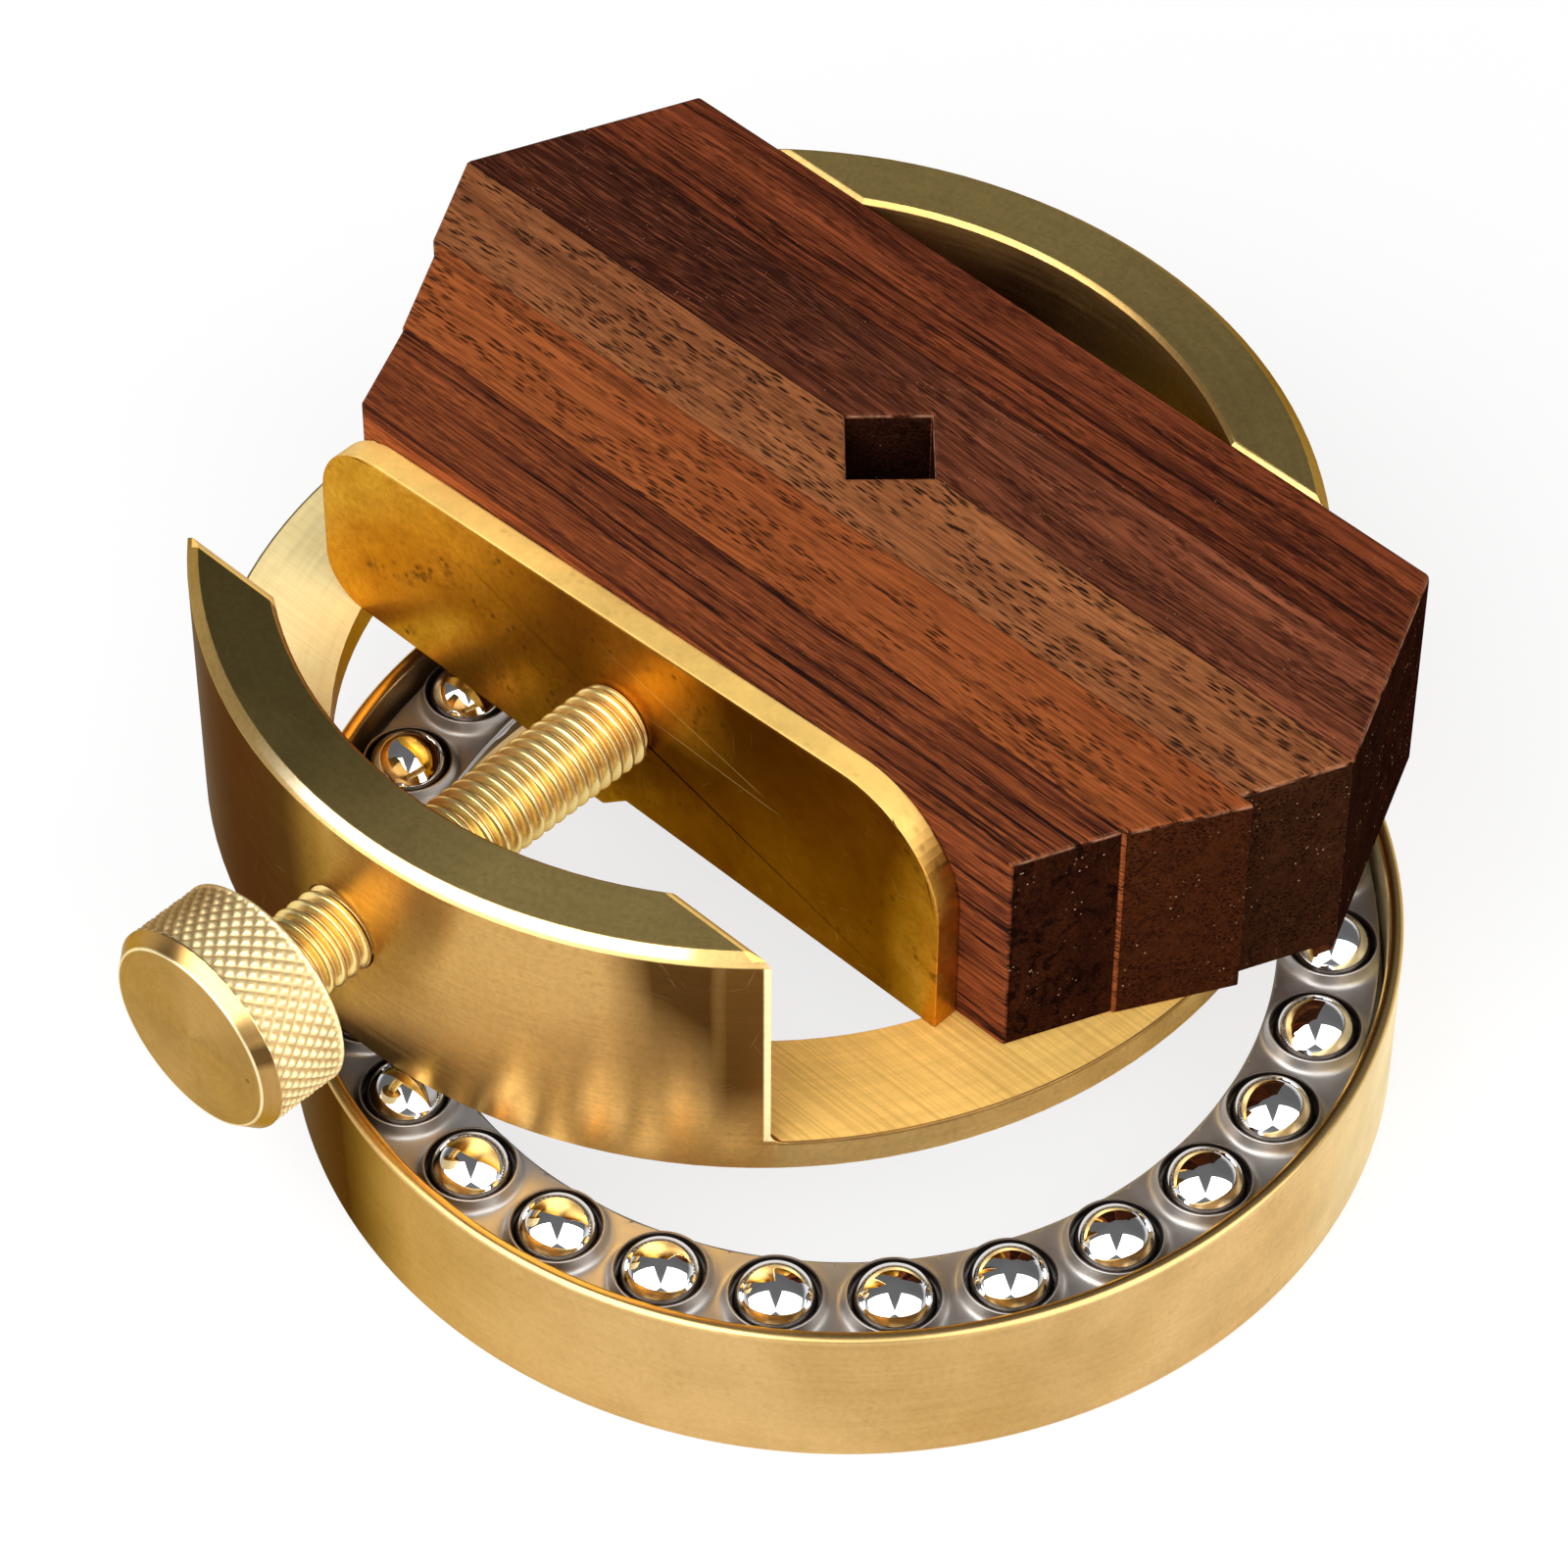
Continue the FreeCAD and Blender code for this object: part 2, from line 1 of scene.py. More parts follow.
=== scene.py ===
import bpy
import bmesh
import math
from mathutils import Matrix, Vector


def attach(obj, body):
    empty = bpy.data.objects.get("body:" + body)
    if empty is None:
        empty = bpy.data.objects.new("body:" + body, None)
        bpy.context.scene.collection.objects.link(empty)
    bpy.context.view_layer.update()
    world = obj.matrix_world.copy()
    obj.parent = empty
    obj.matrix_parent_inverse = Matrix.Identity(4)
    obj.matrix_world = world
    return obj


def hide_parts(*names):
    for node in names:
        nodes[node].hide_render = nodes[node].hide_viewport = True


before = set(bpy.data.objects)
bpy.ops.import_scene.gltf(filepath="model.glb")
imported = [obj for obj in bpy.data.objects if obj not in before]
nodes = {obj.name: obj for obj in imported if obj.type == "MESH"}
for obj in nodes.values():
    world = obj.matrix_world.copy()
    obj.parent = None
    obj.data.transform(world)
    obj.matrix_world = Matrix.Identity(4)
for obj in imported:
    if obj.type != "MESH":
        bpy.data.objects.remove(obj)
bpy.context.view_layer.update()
mm = 0.001
perMetre = 1000.0
joinReach = 0.002 * mm  # corners nearer than this become one

# the vise body stands off the base axis; u runs along its jaw strips and w across them
bodySpot = {"x": -8.49, "y": 21.75, "turn": math.radians(-44.3)}
screwSpot = {"u": -1.5, "z": 35.03}
alongStrips = Vector((math.cos(bodySpot["turn"]), math.sin(bodySpot["turn"]), 0))
acrossStrips = Vector((-math.sin(bodySpot["turn"]), math.cos(bodySpot["turn"]), 0))
upward = Vector((0, 0, 1))


def onBody(u, w, z):
    return (Vector((bodySpot["x"], bodySpot["y"], z)) + alongStrips * u + acrossStrips * w) * mm


def onScrew(radius, angle, out):
    # angle 0 is straight up, and out grows towards the knob
    spot = upward * math.cos(angle) - alongStrips * math.sin(angle)
    return onBody(screwSpot["u"], -out, screwSpot["z"]) + spot * radius * mm


def rgb(color):
    return (color[0], color[1], color[2], 1.0)


def nodeGroup(name, inputs, outputs):
    group = bpy.data.node_groups.new(name, "ShaderNodeTree")
    for label, kind, default in inputs:
        socket = group.interface.new_socket(label, in_out="INPUT", socket_type="NodeSocket" + kind)
        if default is not None:
            socket.default_value = default
    for label, kind in outputs:
        group.interface.new_socket(label, in_out="OUTPUT", socket_type="NodeSocket" + kind)
    return group, group.nodes.new("NodeGroupInput").outputs, group.nodes.new("NodeGroupOutput").inputs


class Wires:
    def __init__(self, tree):
        self.tree = tree

    def add(self, kind, **settings):
        node = self.tree.nodes.new("ShaderNode" + kind)
        for key, value in settings.items():
            setattr(node, key, value)
        return node

    def put(self, value, socket):
        if isinstance(value, bpy.types.NodeSocket):
            self.tree.links.new(value, socket)
        else:
            socket.default_value = value

    def math(self, operation, a, b=0.0, clamp=False):
        node = self.add("Math", operation=operation, use_clamp=clamp)
        self.put(a, node.inputs[0])
        self.put(b, node.inputs[1])
        return node.outputs[0]

    def times(self, a, b, clamp=False):
        return self.math("MULTIPLY", a, b, clamp)

    def plus(self, a, b, clamp=False):
        return self.math("ADD", a, b, clamp)

    def minus(self, a, b):
        return self.math("SUBTRACT", a, b)

    def vector(self, operation, a, b=None):
        node = self.add("VectorMath", operation=operation)
        self.put(a, node.inputs[0])
        if b is not None:
            self.put(b, node.inputs[1])
        return node.outputs["Value" if operation in ("DOT_PRODUCT", "LENGTH") else "Vector"]

    def combine(self, x, y, z):
        node = self.add("CombineXYZ")
        for socket, value in zip(node.inputs, (x, y, z)):
            self.put(value, socket)
        return node.outputs[0]

    def split(self, vector):
        node = self.add("SeparateXYZ")
        self.put(vector, node.inputs[0])
        return node.outputs

    def moved(self, vector, kind, source, target):
        # the same direction, told in another space
        node = self.add("VectorTransform", vector_type=kind, convert_from=source, convert_to=target)
        self.put(vector, node.inputs[0])
        return node.outputs[0]

    def rotated(self, vector, angle):
        node = self.add("VectorRotate", rotation_type="Z_AXIS")
        self.put(vector, node.inputs["Vector"])
        node.inputs["Angle"].default_value = angle
        return node.outputs[0]

    def noise(self, vector, scale=1.0, detail=3.0, rough=0.5):
        node = self.add("TexNoise")
        self.put(vector, node.inputs["Vector"])
        self.put(scale, node.inputs["Scale"])
        node.inputs["Detail"].default_value = detail
        node.inputs["Roughness"].default_value = rough
        return node.outputs["Fac"]

    def cells(self, vector, scale=1.0):
        node = self.add("TexVoronoi")
        self.put(vector, node.inputs["Vector"])
        self.put(scale, node.inputs["Scale"])
        return node.outputs["Distance"]

    def fit(self, value, low, high, toLow=0.0, toHigh=1.0):
        node = self.add("MapRange", clamp=True)
        for label, number in (("Value", value), ("From Min", low), ("From Max", high),
                              ("To Min", toLow), ("To Max", toHigh)):
            self.put(number, node.inputs[label])
        return node.outputs["Result"]

    def mix(self, share, a, b):
        node = self.add("Mix", data_type="RGBA", clamp_factor=True)
        colors = [socket for socket in node.inputs if socket.type == "RGBA"]
        self.put(share, node.inputs[0])
        self.put(a, colors[0])
        self.put(b, colors[1])
        return [socket for socket in node.outputs if socket.type == "RGBA"][0]

    def blend(self, share, a, b):
        # plain number between a and b
        node = self.add("Mix", data_type="FLOAT", clamp_factor=True)
        self.put(share, node.inputs[0])
        self.put(a, node.inputs[2])
        self.put(b, node.inputs[3])
        return node.outputs[0]

    def use(self, group, values):
        node = self.tree.nodes.new("ShaderNodeGroup")
        node.node_tree = group
        for label, value in values.items():
            self.put(value, node.inputs[label])
        return node.outputs


def makeTurnedPath():
    # place on a turned piece: along its lines, away from its axis, along the axis
    group, ins, outs = nodeGroup("turnedPath", [
        ("Centre", "Vector", (0, 0, 0)), ("Axis", "Vector", (0, 0, 1)),
        ("East", "Vector", (1, 0, 0)), ("North", "Vector", (0, 1, 0)), ("Wrap", "Float", 0.055)],
        [("Path", "Vector"), ("Angle", "Float"), ("Reach", "Float"), ("Out", "Float"),
         ("Grain", "Vector")])
    w = Wires(group)
    local = w.vector("SUBTRACT", w.add("TexCoord").outputs["Object"], ins["Centre"])
    east = w.vector("DOT_PRODUCT", local, ins["East"])
    north = w.vector("DOT_PRODUCT", local, ins["North"])
    out = w.vector("DOT_PRODUCT", local, ins["Axis"])
    turn = w.math("ARCTAN2", north, east)
    reach = w.math("SQRT", w.plus(w.times(east, east), w.times(north, north)))
    w.put(w.combine(w.times(turn, ins["Wrap"]), reach, out), outs["Path"])
    w.put(w.times(turn, math.degrees(1)), outs["Angle"])
    w.put(w.times(reach, perMetre), outs["Reach"])
    w.put(w.times(out, perMetre), outs["Out"])
    around = w.vector("NORMALIZE", w.vector("CROSS_PRODUCT", ins["Axis"], local))
    w.put(w.moved(around, "VECTOR", "OBJECT", "WORLD"), outs["Grain"])
    return group


# clouds and fine marks of worn metal; each pair is where a mark starts and where it is full
metalForm = {"cloud": (0.36, 0.66), "mark": (0.34, 0.68), "rareScale": 160.0, "rare": (0.5, 0.64),
             "speckScale": 760.0, "speck": (0.36, 0.14), "smudgeScale": 420.0, "smudge": (0.58, 0.7),
             "speckRough": 0.2, "speckDepth": 0.6}


def makeMetalTone():
    form = metalForm
    group, ins, outs = nodeGroup("metalTone", [
        ("Vector", "Vector", (0, 0, 0)), ("Marks", "Vector", (20, 900, 900)),
        ("Light", "Color", rgb((0.8, 0.6, 0.3))), ("Dark", "Color", rgb((0.5, 0.33, 0.13))),
        ("Clouds", "Float", 45.0), ("Cloud Amount", "Float", 0.5), ("Mark Amount", "Float", 0.3),
        ("Spots", "Float", 0.3), ("Smooth", "Float", 0.2), ("Rough", "Float", 0.4)],
        [("Color", "Color"), ("Share", "Float"), ("Speck", "Float"), ("Roughness", "Float"),
         ("Height", "Float")])
    w = Wires(group)
    spot = ins["Vector"]
    cloud = w.fit(w.noise(spot, ins["Clouds"], 5.0, 0.6), *form["cloud"])
    fine = w.noise(w.vector("MULTIPLY", spot, ins["Marks"]), 1.0, 5.0, 0.7)
    streak = w.fit(fine, *form["mark"])
    rare = w.fit(w.noise(spot, form["rareScale"], 3.0), *form["rare"])
    speck = w.times(w.fit(w.cells(spot, form["speckScale"]), *form["speck"]), rare)
    smudge = w.fit(w.noise(spot, form["smudgeScale"], 4.0, 0.6), *form["smudge"])
    speck = w.math("MAXIMUM", speck, w.times(smudge, rare))
    speck = w.times(speck, ins["Spots"], clamp=True)
    marked = w.times(w.minus(streak, 0.5), ins["Mark Amount"])
    share = w.plus(w.times(cloud, ins["Cloud Amount"]), marked, clamp=True)
    w.put(w.mix(share, ins["Light"], ins["Dark"]), outs["Color"])
    w.put(share, outs["Share"])
    w.put(speck, outs["Speck"])
    both = w.plus(w.times(cloud, 0.5), w.times(streak, 0.5))
    rough = w.fit(both, 0.1, 0.9, ins["Smooth"], ins["Rough"])
    w.put(w.plus(rough, w.times(speck, form["speckRough"])), outs["Roughness"])
    height = w.times(w.minus(fine, 0.5), ins["Mark Amount"])
    w.put(w.minus(height, w.times(speck, form["speckDepth"])), outs["Height"])
    return group


# each dash has an angle and how far it is stretched
scratchForm = {"dashes": ((0.35, 70), (1.15, 110), (1.9, 55), (2.75, 90)), "thin": 2400,
               "dash": (0.13, 0.05), "rareScale": 80.0, "rare": (0.5, 0.62)}


def makeScratches():
    # short straight dashes that lie in a few directions
    form = scratchForm
    group, ins, outs = nodeGroup("scratches", [("Vector", "Vector", (0, 0, 0))], [("Mask", "Float")])
    w = Wires(group)
    along, across, out = w.split(ins["Vector"])
    flat = w.combine(along, w.plus(across, out), 0.0)
    total = 0.0
    for angle, stretch in form["dashes"]:
        spot = w.rotated(flat, angle)
        dash = w.fit(w.cells(w.vector("MULTIPLY", spot, (stretch, form["thin"], 1))), *form["dash"])
        rare = w.fit(w.noise(spot, form["rareScale"] + stretch, 2.0), *form["rare"])
        total = w.math("MAXIMUM", w.times(dash, rare), total)
    w.put(total, outs["Mask"])
    return group


# layers of the grain; a scale runs along a strip, across it and up
grainForm = {
    "bend": {"scale": (16, 50, 40), "detail": 2.0, "rough": 0.5},
    "broad": {"scale": (30, 110, 80), "detail": 3.0, "rough": 0.6, "fade": (0.36, 0.68)},
    "bands": {"scale": (12, 330, 180), "detail": 5.0, "rough": 0.62, "fade": (0.34, 0.68)},
    "dark": {"scale": (16, 950, 600), "detail": 4.0, "rough": 0.62, "fade": (0.53, 0.6)},
    "lines": {"scale": (24, 2600, 2000), "detail": 2.0, "rough": 0.5, "fade": (0.44, 0.6)},
    "fibre": {"scale": (160, 4200, 3600), "detail": 3.0, "rough": 0.6},
    "some": {"scale": (70, 360, 360), "detail": 3.0, "rough": 0.5, "fade": (0.38, 0.52)},
}
woodWear = {"waveAcross": 0.005, "waveUp": 0.003, "poreScale": (420, 2800, 2800), "pore": (0.46, 0.24),
            "end": (0.45, 0.75), "endTone": (0.004, 0.0012, 0.0008), "worn": (0.0494, 0.0496),
            "wornShare": 0.55, "wornTone": (0.42, 0.2, 0.11), "seam": (0.0492, 0.0495),
            "seamShadeShare": 0.75, "endDust": 0.7, "dustScale": 1500.0, "dustTone": (0.45, 0.27, 0.16)}


def makeHardwood():
    wear = woodWear
    group, ins, outs = nodeGroup("hardwood", [
        ("Seed", "Float", 0.0), ("Light", "Color", rgb((0.3, 0.12, 0.05))),
        ("Dark", "Color", rgb((0.1, 0.03, 0.02))), ("Streak", "Color", rgb((0.03, 0.01, 0.01))),
        ("Bands", "Float", 0.5), ("Streaks", "Float", 0.5), ("Pores", "Float", 0.6),
        ("Dust", "Float", 0.1), ("End Tone", "Float", 0.35), ("Left Shade", "Float", 0.0),
        ("Right Shade", "Float", 0.0)],
        [("Color", "Color"), ("Roughness", "Float"), ("Height", "Float")])
    w = Wires(group)

    def layer(name, place):
        form = grainForm[name]
        grain = w.noise(w.vector("MULTIPLY", place, form["scale"]), 1.0, form["detail"], form["rough"])
        return w.fit(grain, *form["fade"]) if "fade" in form else grain

    square = w.rotated(w.add("TexCoord").outputs["Object"], -bodySpot["turn"])
    shift = w.combine(ins["Seed"], w.times(ins["Seed"], 0.37), w.times(ins["Seed"], 0.61))
    spot = w.vector("ADD", square, shift)
    bend = w.minus(layer("bend", spot), 0.5)
    wave = w.combine(0.0, w.times(bend, wear["waveAcross"]), w.times(bend, wear["waveUp"]))
    wavy = w.vector("ADD", spot, wave)
    broad = layer("broad", spot)
    bands, dark, lines, fibre, some = [layer(name, wavy)
                                       for name in ("bands", "dark", "lines", "fibre", "some")]
    pore = w.fit(w.cells(w.vector("MULTIPLY", wavy, wear["poreScale"])), *wear["pore"])
    pore = w.times(w.times(pore, some), ins["Pores"], clamp=True)
    level = w.split(square)
    left = w.times(w.fit(level[0], 0.0, -0.05), ins["Left Shade"])
    right = w.times(w.fit(level[0], -0.02, 0.03), ins["Right Shade"])
    tone = w.mix(w.times(bands, ins["Bands"]), ins["Light"], ins["Dark"])
    tone = w.mix(w.times(broad, 0.5), tone, ins["Dark"])
    tone = w.mix(w.plus(left, right), tone, ins["Dark"])
    tone = w.mix(w.times(lines, 0.6), tone, ins["Dark"])
    tone = w.mix(w.times(dark, ins["Streaks"]), tone, ins["Streak"])
    tone = w.mix(w.fit(fibre, 0.45, 0.75, 0.0, 0.5), tone, ins["Streak"])
    tone = w.mix(w.fit(fibre, 0.5, 0.3, 0.0, 0.5), tone, ins["Light"])
    tone = w.mix(pore, tone, ins["Streak"])
    # end grain is darker, with painted shade that makes the end faces near black, and a broken top
    # edge is paler
    facing = w.moved(w.add("NewGeometry").outputs["True Normal"], "NORMAL", "WORLD", "OBJECT")
    faceUp = w.split(facing)[2]
    endwise = w.math("ABSOLUTE", w.vector("DOT_PRODUCT", facing, tuple(alongStrips)))
    end = w.fit(endwise, *wear["end"])
    worn = w.times(w.fit(level[2], *wear["worn"]), w.fit(faceUp, 0.93, 0.8))
    worn = w.times(worn, w.fit(endwise, 0.15, 0.3))
    worn = w.times(worn, w.fit(w.noise(spot, 500.0, 3.0), 0.4, 0.6))
    deep = w.times(end, w.minus(1.0, ins["End Tone"]))
    tone = w.mix(deep, tone, rgb(wear["endTone"]))
    tone = w.mix(w.times(worn, wear["wornShare"]), tone, rgb(wear["wornTone"]))
    # painted shade in the V-grooves where the strips meet
    seam = w.times(w.fit(level[2], *wear["seam"]), w.fit(faceUp, 0.97, 0.9))
    seam = w.times(seam, w.fit(endwise, 0.15, 0.05))
    tone = w.mix(w.times(seam, wear["seamShadeShare"]), tone, ins["Streak"])
    fleck = w.times(w.fit(w.cells(spot, wear["dustScale"]), 0.2, 0.08),
                    w.fit(w.noise(spot, 300.0, 2.0), 0.54, 0.62))
    fleck = w.times(fleck, w.blend(end, ins["Dust"], wear["endDust"]))
    w.put(w.mix(fleck, tone, rgb(wear["dustTone"])), outs["Color"])
    rough = w.plus(w.fit(fibre, 0.3, 0.8, 0.5, 0.66), w.times(pore, 0.2))
    w.put(rough, outs["Roughness"])
    w.put(w.minus(w.times(fibre, 0.35), pore), outs["Height"])
    return group


turnedPath = makeTurnedPath()
metalTone = makeMetalTone()
scratchMask = makeScratches()
hardwood = makeHardwood()
print("node groups ready")


def newMaterial(name, **sockets):
    material = bpy.data.materials.new(name)
    material.use_nodes = True
    shader = material.node_tree.nodes["Principled BSDF"]
    for label, value in sockets.items():
        shader.inputs[label.replace("_", " ")].default_value = value
    return material, Wires(material.node_tree), shader


def bumpInto(w, shader, height, strength, distance):
    bump = w.add("Bump")
    bump.inputs["Strength"].default_value = strength
    bump.inputs["Distance"].default_value = distance
    w.put(height, bump.inputs["Height"])
    w.put(bump.outputs["Normal"], shader.inputs["Normal"])


upright = {"Axis": (0, 0, 1), "East": (1, 0, 0), "North": (0, 1, 0), "Wrap": 0.055}
lying = {"Axis": tuple(-acrossStrips), "East": tuple(alongStrips), "North": (0, 0, 1)}
turnings = {
    "base": {"Centre": (0, 0, 0), **upright},
    "body": {"Centre": tuple(onBody(0, 0, 0)), **upright},
    "jaws": {"Centre": tuple(onBody(0, 0, 0)), **lying, "Wrap": 0.04},
    "screw": {"Centre": tuple(onScrew(0, 0, 0)), **lying, "Wrap": 0.008},
}

# limits that several zones share
baseWall = [("out", 18.4, 18.1)]
bodyWall = [("reach", 57.2, 57.5), ("out", 49.2, 49.0)]
bodyRim = [("out", 50.2, 50.15), ("reach", 56.4, 56.5)]
slotFloor = [("out", 22.75, 22.8), ("out", 22.9, 22.85), ("reach", 57.6, 57.4)]
knobBevel = [("out", 76.05, 76.15)]
# turns at the far left of the base and body walls, which get painted shade
shadedBackTurns = (-139, -151), (140, 172)  # both sides of the seam where the turn starts again
shadedBodyTurns = (-134, -144), (140, 172)

